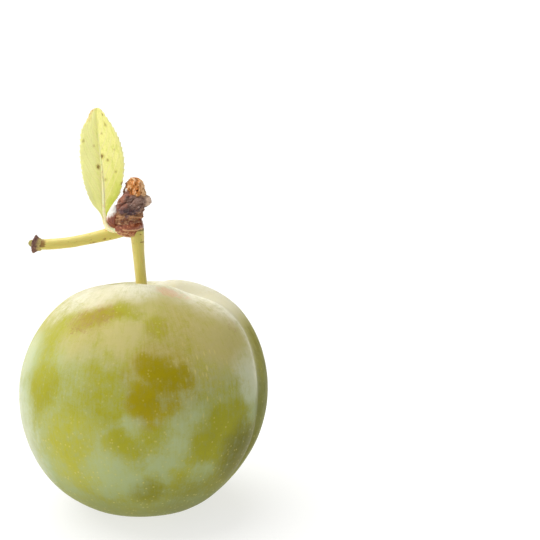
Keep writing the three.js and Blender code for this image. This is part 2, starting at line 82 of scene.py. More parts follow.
def work_out(operation, *values):
    """A Math node for numbers, or a Vector Math node where a vector is among them."""
    numbers = all(is_number(v) for v in values)
    kind = "ShaderNodeMath" if numbers else "ShaderNodeVectorMath"
    if not numbers:
        values = [(v,) * 3 if isinstance(v, (int, float)) else v for v in values]
    return common(values).add(kind, {"operation": operation}, dict(enumerate(values)))


class Wire:
    """What comes out of a node. Python's operators on it add the nodes that work out the result."""

    def __init__(self, tree, socket):
        self.tree = tree
        self.socket = socket
        self.holds_number = socket.type in ("VALUE", "INT", "BOOLEAN")

    def __add__(self, other):
        return work_out("ADD", self, other)

    def __radd__(self, other):
        return work_out("ADD", other, self)

    def __sub__(self, other):
        return work_out("SUBTRACT", self, other)

    def __rsub__(self, other):
        return work_out("SUBTRACT", other, self)

    def __mul__(self, other):
        return work_out("MULTIPLY", self, other)

    def __rmul__(self, other):
        return work_out("MULTIPLY", other, self)

    def __truediv__(self, other):
        return work_out("DIVIDE", self, other)

    def __rtruediv__(self, other):
        return work_out("DIVIDE", other, self)

    def __pow__(self, other):
        return work_out("POWER", self, other)

    def __neg__(self):
        return work_out("MULTIPLY", self, -1.0)

    def out(self, name):
        """Another output of the same node."""
        return Wire(self.tree, self.socket.node.outputs[name])

    def parts(self):
        """The x, y and z of a vector."""
        split = self.tree.add("ShaderNodeSeparateXYZ", {}, {0: self})
        return split, split.out("Y"), split.out("Z")


def sine(x):
    return work_out("SINE", x)


def cosine(x):
    return work_out("COSINE", x)


def size_of(x):
    return work_out("ABSOLUTE", x)


def larger(x, y):
    return work_out("MAXIMUM", x, y)


def smaller(x, y):
    return work_out("MINIMUM", x, y)


def bell(x):
    """A bell-shaped hump: 1 at 0, almost nothing past 2."""
    return work_out("EXPONENT", -(x * x))


def dot(a, b):
    return common((a, b)).add("ShaderNodeVectorMath", {"operation": "DOT_PRODUCT"}, {0: a, 1: b}, "Value")


def length(vector):
    return vector.tree.add("ShaderNodeVectorMath", {"operation": "LENGTH"}, {0: vector}, "Value")


def normalized(vector):
    return vector.tree.add("ShaderNodeVectorMath", {"operation": "NORMALIZE"}, {0: vector})


def ease(value, low, high, start=0.0, end=1.0):
    """Goes smoothly from start to end as value goes from low to high."""
    return value.tree.add(
        "ShaderNodeMapRange",
        {"interpolation_type": "SMOOTHSTEP"},
        {0: value, 1: low, 2: high, 3: start, 4: end},
    )


def vector(x, y, z):
    return common((x, y, z)).add("ShaderNodeCombineXYZ", {}, {0: x, 1: y, 2: z})


def blend(first, second, share):
    """Two colours mixed: all first at a share of 0, all second at 1."""
    settings = {"data_type": "RGBA", "clamp_factor": True}
    sockets = {0: share, MIX_FIRST: first, MIX_SECOND: second}
    return share.tree.add("ShaderNodeMix", settings, sockets, MIX_RESULT)


class Tree:
    """A node tree being built."""

    def __init__(self, nodes):
        self.tree = nodes

    def add(self, kind, settings, sockets, output=0):
        """Adds a node: its settings first, then the values or wires of its sockets. Returns one output."""
        node = self.tree.nodes.new(kind)
        for name, value in settings.items():
            setattr(node, name, value)
        for key, value in sockets.items():
            if isinstance(value, Wire):
                self.tree.links.new(value.socket, node.inputs[key])
            else:
                node.inputs[key].default_value = value
        return Wire(self, node.outputs[output])

    def clouds(self, place, scale, detail=2.0, roughness=0.5, output=0):
        """Soft noise between 0 and 1, or as a colour from output 1."""
        sockets = {"Vector": place, "Scale": scale, "Detail": detail, "Roughness": roughness}
        return self.add("ShaderNodeTexNoise", {}, sockets, output)

    def cells(self, place, scale, feature="F1"):
        """Distance to the nearest of many scattered points, or to the edge between two."""
        sockets = {"Vector": place, "Scale": scale}
        return self.add("ShaderNodeTexVoronoi", {"feature": feature}, sockets, "Distance")


class Form(Tree):
    """A Geometry Nodes tree that makes a piece. Its sizes are the named inputs of the tree."""

    KINDS = {float: "NodeSocketFloat", int: "NodeSocketInt"}

    def __init__(self, name):
        super().__init__(bpy.data.node_groups.new(name, "GeometryNodeTree"))
        face = self.tree.interface
        face.new_socket("Geometry", in_out="INPUT", socket_type="NodeSocketGeometry")
        face.new_socket("Geometry", in_out="OUTPUT", socket_type="NodeSocketGeometry")
        self.entry = self.tree.nodes.new("NodeGroupInput")

    def given(self):
        """The geometry that the piece starts from."""
        return Wire(self, self.entry.outputs["Geometry"])

    def size(self, name, kind=float):
        """A named size of the piece."""
        self.tree.interface.new_socket(name, in_out="INPUT", socket_type=self.KINDS[kind])
        return Wire(self, self.entry.outputs[name])

    def position(self):
        return self.add("GeometryNodeInputPosition", {}, {})

    def move(self, geometry, place=None, offset=None):
        sockets = {"Geometry": geometry}
        if place is not None:
            sockets["Position"] = place
        if offset is not None:
            sockets["Offset"] = offset
        return self.add("GeometryNodeSetPosition", {}, sockets)

    def store(self, geometry, name, value):
        """Keeps a value on the points, for a material to read."""
        kind = "FLOAT" if value.holds_number else "FLOAT_VECTOR"
        settings = {"data_type": kind, "domain": "POINT"}
        sockets = {"Geometry": geometry, "Name": name, "Value": value}
        return self.add("GeometryNodeStoreNamedAttribute", settings, sockets)

    def recall(self, name, kind="FLOAT"):
        return self.add("GeometryNodeInputNamedAttribute", {"data_type": kind}, {"Name": name})

    def finish(self, geometry, material):
        """Ends the tree: one smooth plain mesh with its material."""
        real = self.add("GeometryNodeRealizeInstances", {}, {"Geometry": geometry})
        smooth = self.add("GeometryNodeSetShadeSmooth", {}, {"Geometry": real})
        done = self.add("GeometryNodeSetMaterial", {}, {"Geometry": smooth, "Material": material})
        leave = self.tree.nodes.new("NodeGroupOutput")
        self.tree.links.new(done.socket, leave.inputs["Geometry"])


class Finish(Tree):
    """A material: a Principled shader and the nodes that feed it."""

    def __init__(self, name, **constants):
        self.material = bpy.data.materials.new(name)
        self.material.use_nodes = True
        super().__init__(self.material.node_tree)
        self.tree.nodes.clear()
        self.shader = self.tree.nodes.new("ShaderNodeBsdfPrincipled")
        leave = self.tree.nodes.new("ShaderNodeOutputMaterial")
        self.tree.links.new(self.shader.outputs[0], leave.inputs["Surface"])
        for socket, value in constants.items():
            self.shader.inputs[socket.replace("_", " ").title().replace("Ior", "IOR")].default_value = value

    def feed(self, socket, wire):
        self.tree.links.new(wire.socket, self.shader.inputs[socket])

    def place(self):
        """Where a point is, in millimetres."""
        spot = self.add("ShaderNodeTexCoord", {}, {}, "Object")
        sockets = {"Vector": spot, "Scale": (1 / MM, 1 / MM, 1 / MM)}
        return self.add("ShaderNodeMapping", {"vector_type": "POINT"}, sockets)

    def place_in_fruit(self, fruit):
        """Where a point is in the fruit's own frame, in millimetres: z runs from its middle to its stalk."""
        spot = self.add("ShaderNodeTexCoord", {}, {}, "Object")
        sockets = {
            "Vector": spot,
            "Location": (0.0, 0.0, fruit.middle_height),
            "Rotation": (-fruit.lean, 0.0, 0.0),
            "Scale": (MM, MM, MM),
        }
        return self.add("ShaderNodeMapping", {"vector_type": "TEXTURE"}, sockets)

    def on_piece(self, name):
        """A value that was kept on the piece's points."""
        return self.add("ShaderNodeAttribute", {"attribute_name": name}, {}, "Fac")

    def relief(self, height, strength, distance):
        """Fine relief for the light, from a height of 0 to 1."""
        sockets = {"Strength": strength, "Distance": distance, "Height": height}
        self.feed("Normal", self.add("ShaderNodeBump", {}, sockets))


# ------------------------------------------------------------------ sizes and colours


def length_of(name, value, description):
    return bpy.props.FloatProperty(
        name=name, description=description, default=value * MM, unit="LENGTH", precision=5
    )


def angle_of(name, value, description):
    return bpy.props.FloatProperty(
        name=name, description=description, default=rad(value), subtype="ANGLE"
    )


def share_of(name, value, description):
    return bpy.props.FloatProperty(
        name=name, description=description, default=value, min=0.0, subtype="FACTOR"
    )


def colour_of(name, value, description):
    return bpy.props.FloatVectorProperty(
        name=name, description=description, default=value, size=4, min=0.0, max=1.0, subtype="COLOR"
    )


GROOVE_SIDE = -24  # the way round that the groove faces, in degrees


class FruitLook(bpy.types.PropertyGroup):
    """Sizes and colours of the fruit."""

    cheek: length_of("Cheek", 20.9, "Half the width across the cheeks")
    depth: share_of("Depth", 0.97, "Front to back against side to side")
    lean: angle_of("Lean", 11, "How far the stalk end leans back from upright")
    middle_height: length_of("Middle Height", 18.7, "The fruit's middle above the surface it rests on")
    groove_side: angle_of("Groove Side", GROOVE_SIDE, "The way the groove faces: 0 is right, -90 the front")
    groove_twist: angle_of("Groove Twist", 15, "How much further round the groove runs near the stalk")
    groove_width: length_of("Groove Width", 1.05, "Half-width of the groove")
    lip: share_of("Lip", 0.45, "Height of the lips beside the groove against its depth")
    hollow_depth: length_of("Hollow Depth", 4.2, "Depth of the hollow that the stalk stands in")
    hollow_width: length_of("Hollow Width", 3.7, "Half-width of the hollow")
    unevenness: length_of("Unevenness", 0.1, "How far the skin is out of true")
    green: colour_of("Green Skin", tint(162, 159, 34), "Skin without bloom, on the shaded side")
    amber: colour_of("Amber Skin", tint(163, 147, 4), "Skin without bloom, on the sunny side")
    yellow: colour_of("Yellow Skin", tint(186, 183, 64), "Riper yellow-green skin")
    bloom: colour_of("Bloom", tint(184, 198, 160), "The wax on the skin")
    warm_bloom: colour_of("Warm Bloom", tint(206, 194, 140), "The wax on the sunny side")
    # white_bloom is also the colour of the painted highlight on the crown and the left edge
    white_bloom: colour_of("White Bloom", tint(246, 243, 228), "The wax where it is thickest")
    blush: colour_of("Blush", tint(164, 126, 64), "Faint pinkish mottling near the stalk")


class StalkLook(bpy.types.PropertyGroup):
    """Sizes and colours of the two stalks."""

    radius: length_of("Radius", 0.95, "Half the thickness of the fruit's stalk")
    foot_flare: length_of("Foot Flare", 0.3, "How much it widens where it meets the fruit")
    head_flare: length_of("Head Flare", 0.25, "How much it widens where it leaves the spur")
    bare_radius: length_of("Bare Radius", 0.94, "Half the thickness of the bare stalk")
    olive: colour_of("Olive", tint(206, 191, 86), "The stalks' green side")
    # cream is also the painted highlight along the stalks' top and sides
    cream: colour_of("Cream", tint(234, 219, 134), "The stalks' pale side")
    fleck: colour_of("Fleck", tint(142, 92, 34), "Brown flecks on the stalks")
    dry: colour_of("Dry End", tint(104, 76, 56), "The dried end that held the lost fruit")


class SpurLook(bpy.types.PropertyGroup):
    """Sizes and colours of the woody spur."""

    girth: share_of("Girth", 1.0, "Thickness against the usual one")
    roughness: length_of("Roughness", 0.13, "How rough the bark is")
    torn_from: length_of("Torn From", 34.4, "Height above the fruit's middle where the wood is torn")
    torn: colour_of("Torn Wood", tint(214, 142, 66), "Torn wood at the tip")
    knob: colour_of("Knobs", tint(138, 106, 92), "Old knobs and scars")
    band: colour_of("Bark", tint(200, 148, 106), "Ringed bark below the knobs")
    bud_girth: length_of("Bud Half Width", 0.8, "Half the thickness of the closed bud")
    scale: colour_of("Bud Scale", tint(152, 76, 40), "Glossy bud scales")
    rim: colour_of("Scale Rim", tint(214, 164, 116), "Dry pale rims of the bud scales")


class LeafLook(bpy.types.PropertyGroup):
    """Sizes and colours of the leaf."""

    thickness: length_of("Thickness", 0.3, "Thickness of the blade")
    left_fold: angle_of("Left Fold", 20, "How far the left half turns up")
    right_fold: angle_of("Right Fold", 10, "How far the right half turns up")
    tooth_depth: length_of("Tooth Depth", 0.17, "Depth of the teeth on the edge")
    vein_height: length_of("Vein Height", 0.05, "How far the side veins stand out")
    blade: colour_of("Blade", tint(255, 248, 158), "The blade")
    greener: colour_of("Greener", tint(206, 214, 76), "The blade near its foot")
    rib: colour_of("Rib", tint(250, 238, 172), "Midrib and leaf stalk")
    fleck: colour_of("Fleck", tint(124, 88, 8), "Brown specks")
    scorch: colour_of("Scorch", tint(206, 160, 84), "Dry edge at the tip")


# ------------------------------------------------------------------ pieces


def keep(piece, slot, *nodes):
    """A finished piece rides on the plum's one body and stands for these solids."""
    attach(piece, "root")
    if nodes:
        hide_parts(*nodes)


def grown(name, form, start, **sizes):
    """Runs a Geometry Nodes tree on some starting data and keeps the plain mesh that comes out. Its sizes
    are named as in the tree, in small letters and with underscores."""
    seed = bpy.data.objects.new(name + "_start", start)
    bpy.context.scene.collection.objects.link(seed)
    modifier = seed.modifiers.new(name, "NODES")
    modifier.node_group = form.tree
    for item in form.tree.interface.items_tree:
        key = item.name.lower().replace(" ", "_")
        if item.in_out == "INPUT" and key in sizes:
            modifier[item.identifier] = sizes[key]
    view = bpy.context.evaluated_depsgraph_get()
    mesh = bpy.data.meshes.new_from_object(seed.evaluated_get(view), depsgraph=view)
    seed.modifiers.clear()
    bpy.data.objects.remove(seed)
    if not mesh.polygons:
        raise RuntimeError(f"{name} came out empty")
    return shown(name, mesh)


def shown(name, mesh):
    mesh.name = name
    piece = bpy.data.objects.new(name, mesh)
    bpy.context.scene.collection.objects.link(piece)
    return piece


def meshed(name, points, faces, material, **kept):
    """A smooth mesh from rows of points, with values kept on its points for the material."""
    mesh = bpy.data.meshes.new(name)
    mesh.from_pydata([tuple(p) for p in points], [], faces)
    for key, values in kept.items():
        layer = mesh.attributes.new(key, "FLOAT", "POINT")
        layer.data.foreach_set("value", np.asarray(values, np.float32).ravel())
    mesh.materials.append(material)
    mesh.shade_smooth()
    mesh.validate()
    return shown(name, mesh)


def path_data(name, points):
    """A curve through points that are given in the fruit's frame, in millimetres."""
    data = bpy.data.curves.new(name, "CURVE")
    data.dimensions = "3D"
    spline = data.splines.new("POLY")
    spline.points.add(len(points) - 1)
    for point, place in zip(spline.points, in_world(np.array(points, float))):
        point.co = (*place, 1.0)
    return data


def in_world(points):
    """Points from the fruit's frame, in millimetres, to the world, in metres."""
    fruit = bpy.context.scene.plum_fruit
    c, s = math.cos(fruit.lean), math.sin(fruit.lean)
    x, y, z = np.moveaxis(points * MM, -1, 0)
    return np.stack([x, y * c + z * s, z * c - y * s + fruit.middle_height], axis=-1)


# ------------------------------------------------------------------ smooth rows, rings and noise

CRUMB_FALL = 0.9  # how fast the finer octaves of the noise get weaker
CRUMB_GROWTH = 2.1  # how much finer each octave is than the one before


def rounded(rows, steps):
    """A smooth row of points through a rough one."""
    table = np.array(rows, float)
    places = np.linspace(0, len(table) - 1, steps * (len(table) - 1) + 1)
    return np.stack([smooth_through(table[:, k], places) for k in range(table.shape[1])], axis=1)


def smooth_through(values, places):
    """The values of a smooth curve through evenly numbered values."""
    last = len(values) - 1
    start = np.clip(np.floor(places).astype(int), 0, last - 1)
    t = places - start
    before, a, b, after = (values[np.clip(start + k, 0, last)] for k in (-1, 0, 1, 2))
    bend = (b - before) / 2 * t * (1 - t) ** 2 - (after - a) / 2 * t * t * (1 - t)
    return a * (1 + 2 * t) * (1 - t) ** 2 + b * t * t * (3 - 2 * t) + bend


def along(table, place, column):
    """The value at a place in rows of (place, value, ...), on a smooth curve through them all."""
    place = np.asarray(place, float)
    after = np.clip(np.searchsorted(table[:, 0], place), 1, len(table) - 1)
    row = [table[np.clip(after + k, 0, len(table) - 1)] for k in (-2, -1, 0, 1)]
    before, start, end, beyond = row

    def slope(a, b):
        run = b[..., 0] - a[..., 0]
        return (b[..., column] - a[..., column]) / np.where(run == 0, 1.0, run)

    span = end[..., 0] - start[..., 0]
    t = np.clip((place - start[..., 0]) / span, 0, 1)
    value = start[..., column] * (1 + 2 * t) * (1 - t) ** 2 + end[..., column] * t * t * (3 - 2 * t)
    bend = slope(before, end) * t * (1 - t) ** 2 - slope(start, beyond) * t * t * (1 - t)
    return value + span * bend


def eased(values, low, high):
    t = np.clip((values - low) / (high - low), 0, 1)
    return t * t * (3 - 2 * t)


def hump(x):
    return np.exp(-x * x)


def dome(x):
    return np.clip(1 - x * x, 0, None) ** 0.5


def turn_between(start, end):
    turn = end - start
    return turn - 2 * math.pi * np.round(turn / (2 * math.pi))


def waves(x, y, z):
    """Slow unevenness between about -1 and 1, from a few crossed waves."""
    return (
        np.sin(1.7 * x + 2.3 * y + 0.4)
        + np.sin(2.9 * y - 1.9 * z + 1.7)
        + np.sin(2.3 * z + 1.3 * x - 0.8)
        + np.sin(3.7 * x - 3.1 * z + 2.6 * y)
    ) / 4


def crumbs(points, scale, octaves):
    """Noise of about -1 to 1 at each point."""
    flat = points.reshape(-1, 3) * scale
    values = [noise.fractal(p, CRUMB_FALL, CRUMB_GROWTH, octaves) for p in flat.tolist()]
    return np.array(values).reshape(points.shape[:-1])


def crumbled(points, layers):
    """Layers of noise laid over each other: height, stretch upwards, shift, scale and octaves of each."""
    total = 0.0
    for height, stretch, shift, scale, octaves in layers:
        total = total + height * crumbs(points * (1, 1, stretch) + shift, scale, octaves)
    return total


def tube(name, rings, ends, material, **kept):
    """A closed piece from rings of points and two end points, all in the fruit's frame, in millimetres. The
    values kept are given ring by ring."""
    rows, count = rings.shape[:2]
    points = np.concatenate([rings.reshape(-1, 3), ends])
    kept = {key: with_ends(values) for key, values in kept.items()}
    return meshed(name, in_world(points), tube_faces(rows, count), material, **kept)


def with_ends(values):
    """Values ring by ring, then the means of the first and the last ring."""
    return [*values.ravel(), values[0].mean(), values[-1].mean()]


def tube_faces(rows, count):
    """Quads between rings of points that are listed from one end to the other, and triangles that close both
    ends onto two last points, the near end's first."""
    faces = []
    for row in range(rows - 1):
        for k in range(count):
            a, b = row * count + k, row * count + (k + 1) % count
            faces.append((a, b, b + count, a + count))
    near, far, last = rows * count, rows * count + 1, (rows - 1) * count
    faces += [(near, (k + 1) % count, k) for k in range(count)]
    faces += [(far, last + k, last + (k + 1) % count) for k in range(count)]
    return faces


# ------------------------------------------------------------------ fruit

# Broad swellings (+) and slack places (-) of the fruit: the angle from its stalk end, the way round, how
# far each spreads, in degrees, and its height in millimetres. With no way round it is a whole belt.
SWELLINGS = (
    (0, None, 21, -1.0),
    (180, None, 30, -1.2),
    (46, 0, 27, 1.2),
    (52, 180, 34, 0.5),
    (20, 180, 20, -0.4),
    (31, 180, 14, 0.35),
    (25, -30, 14, -1.5),
    (18, 28, 9, -0.2),
    (17, -100, 18, 1.0),
    (80, 0, 25, 0.3),
    (128, 0, 31, -1.0),
    (105, 180, 40, -0.15),
    (155, 0, 20, 0.2),
    (84, -100, 40, 0.2),
    (70, 85, 38, 0.25),
)

FRUIT_SIZES = (
    "cheek",
    "depth",
    "lean",
    "middle_height",
    "groove_side",
    "groove_twist",
    "groove_width",
    "lip",
    "hollow_depth",
    "hollow_width",
    "unevenness",
)

# Angles from the stalk end, in degrees, between which the groove's twist fades, its shallow part on the
# flank begins and thins, and all of it ends, and between which the hollow stops counting.
TWIST_FADES = (15, 95)
FLANK_BEGINS = (15, 50)
FLANK_THINS = (95, 150)
GROOVE_ENDS = (160, 176)
HOLLOW_STOPS = (85, 90)
GROOVE_FLANK = 0.42  # depth on the flank, in millimetres
FLANK_LEFT = 0.4  # share of it that is left where it has thinned
# Where the groove is deeper, in millimetres, and wider: the angle from the stalk end and how far it spreads,
# in degrees, and how much.
GROOVE_DEEPER = (17, 19, 1.15)
GROOVE_WIDER = (42, 18, 0.9 * MM)
GROOVE_LIP = 3.4 * MM  # from the groove to the crest of the lip beside it
GROOVE_LIP_WIDTH = 2.1 * MM
FOOT_BLEND = 1.3 * MM  # height over which the skin flattens towards the resting spot
FOOT_SINK = 0.25 * MM  # how far under the surface it rests on it would flatten, were it not cut flat
SEAM_GAP = 0.001 * MM  # points closer than this are joined at the seam and the poles
CROWDING = 0.74  # how much closer the points stand near the groove
STALK_SEAT = 0.1 * MM  # how far right of the fruit's axis the hollow lies
HOLLOW_STEEPNESS = 2.4


def way_to(polar, azimuth):
    """The direction at an angle from the stalk end and a way round, in degrees."""
    p, a = rad(polar), rad(azimuth)
    return (math.sin(p) * math.cos(a), math.sin(p) * math.sin(a), math.cos(p))


def zone(polar, start, end, first=0.0, last=1.0):
    """Goes smoothly from first to last between two angles from the stalk end, in degrees."""
    return ease(polar, rad(start), rad(end), first, last)


def belt(polar, at, spread, much):
    """A change all round the fruit that is strongest at one angle from the stalk end, in degrees."""
    return much * bell((polar - rad(at)) * (1 / rad(spread)))


def fruit_form(material):
    """A grid wrapped round the fruit: x runs round it from the far side of the groove, y up to the stalk."""
    form = Form("fruit form")
    cheek, depth_share = form.size("Cheek"), form.size("Depth")
    lean, middle_height = form.size("Lean"), form.size("Middle Height")
    side, twist = form.size("Groove Side"), form.size("Groove Twist")
    width, lip = form.size("Groove Width"), form.size("Lip")
    hollow_depth, hollow_width = form.size("Hollow Depth"), form.size("Hollow Width")
    uneven = form.size("Unevenness")
    around, rings = form.size("Points Around", int), form.size("Rings", int)

    sockets = {"Size X": 1.0, "Size Y": 1.0, "Vertices X": around, "Vertices Y": rings}
    grid = form.add("GeometryNodeMeshGrid", {}, sockets)
    across, up, _ = form.position().parts()
    polar = (0.5 - up) * math.pi
    turn = across * (2 * math.pi)
    from_groove = turn - CROWDING * sine(turn)
    azimuth = from_groove + side + twist * zone(polar, *TWIST_FADES, 1.0, 0.0)
    girth = sine(polar)
    way = vector(girth * cosine(azimuth), girth * sine(azimuth), cosine(polar))

    radius = cheek
    for at_polar, at_azimuth, spread, height in SWELLINGS:
        if at_azimuth is None:
            apart = polar - rad(at_polar)
        else:
            apart = work_out("ARCCOSINE", smaller(dot(way, way_to(at_polar, at_azimuth)), 1.0))
        radius = radius + height * MM * bell(apart * (1 / rad(spread)))

    crown = belt(polar, *GROOVE_DEEPER)
    flank = GROOVE_FLANK * zone(polar, *FLANK_BEGINS) * zone(polar, *FLANK_THINS, 1.0, FLANK_LEFT)
    groove = (crown + flank) * zone(polar, *GROOVE_ENDS, 1.0, 0.0) * MM
    beside = radius * girth * from_groove
    in_groove = bell(beside / (width + belt(polar, *GROOVE_WIDER)))
    lips = bell((size_of(beside) - GROOVE_LIP) * (1 / GROOVE_LIP_WIDTH))
    radius = radius - groove * in_groove + lip * groove * lips

    broad = form.clouds(way, 2.6, 1.0) - 0.5
    fine = form.clouds(way, 11.0, 2.0) - 0.5
    radius = radius + uneven * (2.0 * broad + 0.5 * fine)

    x, y, z = (way * radius).parts()
    y = y * depth_share
    from_stalk = length(vector(x - STALK_SEAT, y, 0.0))
    hollow = work_out("EXPONENT", -((from_stalk / hollow_width) ** HOLLOW_STEEPNESS))
    z = z - hollow_depth * hollow * zone(polar, *HOLLOW_STOPS, 1.0, 0.0)

    c, s = cosine(lean), sine(lean)
    height = z * c - y * s + middle_height + FOOT_SINK
    back = y * c + z * s
    mix = larger(FOOT_BLEND - size_of(height), 0.0) * (1 / FOOT_BLEND)
    settled = larger(height, 0.0) + mix * mix * (FOOT_BLEND / 4)
    wrapped = form.store(grid, "beside", beside / MM)
    wrapped = form.move(wrapped, vector(x, back, larger(settled - FOOT_SINK, 0.0)))
    closed = form.add("GeometryNodeMergeByDistance", {}, {"Geometry": wrapped, "Distance": SEAM_GAP})
    form.finish(closed, material)
    return form


# Where the bloom is rubbed off: the angle from the stalk end, the way round, how far it spreads, in degrees,
# and how much.
RUBBED = (
    (70, -83, 6, 1.0),
    (67, -88, 4.5, 0.8),
    (73, -78, 5, 0.9),
    (72, -71, 4, 0.8),
    (76, -85, 4, 0.8),
    (82, -90, 6.5, 1.0),
    (83, -80, 5, 0.5),
    (37, -103, 4.5, 1.0),
    (39, -97, 4, 0.9),
    (38, -112, 3.5, 0.6),
    (40.5, -119, 3.5, 0.7),
    (44, -126, 3.5, 0.6),
    (48, -133, 3.5, 0.5),
    (47, -81, 5, 0.7),
    (77, -144, 9, 0.75),
    (52, -145, 7, 0.5),
    (59, -148, 6, 0.45),
    (70, -108, 8, 0.45),
    (81, -109, 9, 0.5),
    (101, -102, 5.5, 0.85),
    (104, -96, 5, 0.8),
    (98, -86, 6.5, 0.5),
    (104, -127, 11, 0.6),
    (115, -127, 10, 0.65),
    (94, -122, 9, 0.45),
    (128, -91, 6, 0.85),
    (122, -86, 5, 0.8),
    (91, -43, 6, 0.8),
    (98, -51, 9, 1.0),
    (104, -59, 8, 0.9),
    (96, -62, 5, 0.5),
    (109, -46, 8, 0.7),
    (124, -62, 7, 0.45),
    (119, -75, 5, 0.6),
    (108, -70, 3.5, 0.45),
    (111, -94, 3, 0.4),
    (127, -74, 5, 0.5),
    (112, -34, 11, 0.8),
    (122, -42, 10, 0.6),
    (72, 95, 14, 0.8),
    (88, 112, 10, 0.7),
    (104, 140, 14, 0.75),
    (62, 35, 12, 0.6),
    (112, 60, 15, 0.7),
    (80, 60, 9, 0.6),
    (64, 160, 10, 0.6),
    (140, 20, 14, 0.6),
    (138, 150, 12, 0.6),
)
# Where the bloom lies thick: as above.
BLOOMED = (
    (30, -130, 7, 0.9),
    (26, -105, 8, 0.8),
    (26, -72, 11, 0.85),
    (22, -150, 13, 0.8),
    (52, -102, 8, 0.85),
    (48, -98, 6, 0.8),
    (59, -106, 7, 0.5),
    (35, -89, 6.5, 0.8),
    (67, -164, 10, 1.0),
    (84, -163, 9, 0.75),
    (98, -158, 9, 0.5),
    (57, -128, 9, 0.55),
    (46, -52, 18, 0.5),
    (55, -42, 15, 0.85),
    (95, -73, 5, 0.55),
    (103, -76, 6, 0.85),
    (90, -69, 5.5, 0.4),
    (117, -108, 11, 0.95),
    (122, -100, 8, 0.9),
    (112, -82, 8, 0.8),
    (92, -95, 4.5, 0.6),
    (73, -31, 7.5, 1.0),
    (82, -31, 6.5, 1.0),
    (64, -28, 5, 0.9),
    (93, -29, 4, 0.8),
    (118, -60, 5, 0.7),
    (110, -77, 3, 0.9),
    (24, 10, 22, 0.85),
    (42, 6, 20, 0.7),
    (60, 4, 12, 0.4),
    (120, -146, 12, 0.6),
    (75, 150, 14, 0.8),
    (95, 90, 10, 0.7),
    (60, 70, 13, 0.8),
    (120, 110, 15, 0.8),
    (92, 38, 10, 0.6),
)
# Where the wax is whitest: partly thick wax, partly a painted highlight on the crown and a painted glow on
# the left edge.
WHITEST_AND_PAINTED_HIGHLIGHT = (
    (33, -162, 13, 0.75),
    (67, -168, 8, 0.3),
    (24, -138, 12, 0.6),
    (16, -100, 12, 0.8),
    (26, 12, 24, 0.95),
    (76, -32, 9, 0.4),
)
# Where the skin under the bloom is warmer.
WARM = (
    (72, -80, 15, 1.0),
    (83, -88, 9, 1.0),
    (58, -60, 22, 0.65),
    (41, -121, 9, 0.7),
    (38, -101, 6, 0.35),
    (40, -48, 16, 0.6),
    (118, -38, 12, 0.4),
    (60, -115, 20, 0.3),
    (70, 120, 30, 0.6),
)
# Where it is yellower.
YELLOW = (
    (106, -126, 19, 0.65),
    (58, -146, 16, 0.45),
    (38, -101, 6, 0.35),
    (47, -81, 7, 0.45),
    (78, -112, 19, 0.3),
    (67, -55, 11, 0.6),
    (100, -95, 12, 0.3),
    (60, 160, 30, 0.6),
)
# Where it is mottled with pinkish brown.
BLUSH = (
    (44, -131, 7, 0.8),
    (40, -118, 6, 0.7),
    (24, -58, 5, 0.9),
    (27, -45, 4, 0.6),
    (52, -29, 4, 0.6),
    (52, 85, 12, 0.7),
)
# Where pale dashes run towards the stalk.
DASHED = ((66, -55, 10, 1.0), (58, -60, 9, 0.6), (82, -62, 9, 0.7), (70, 100, 16, 0.35))
# Where the skin behind the groove is darker olive: partly rubbed to bare skin, partly painted shade.
BARE_AND_SHADED = ((70, -8, 13, 0.8), (86, -12, 17, 1.0), (103, -18, 17, 1.0), (118, -26, 14, 0.8))
# Painted shade: where the skin is made darker olive, low on the right and underneath.
PAINTED_SHADE = ((113, -33, 14, 0.9), (96, -22, 8, 0.6), (128, -89, 7, 0.4), (138, -50, 16, 0.5))
FRUIT_HALF_WIDTH = 21  # in millimetres
PAINTED_LIGHT_SIDE = (104, -182)  # the side that painted light lies on, as a pale glow on the left edge


def marked(way, marks):
    """Round marks on a unit sphere. Where some overlap, the strongest one counts."""
    found = None
    for polar, azimuth, spread, much in marks:
        near = dot(way, way_to(polar, azimuth))
        mark = ease(near, math.cos(rad(1.7 * spread)), math.cos(rad(0.25 * spread)), 0.0, much)
        found = mark if found is None else larger(found, mark)
    return found


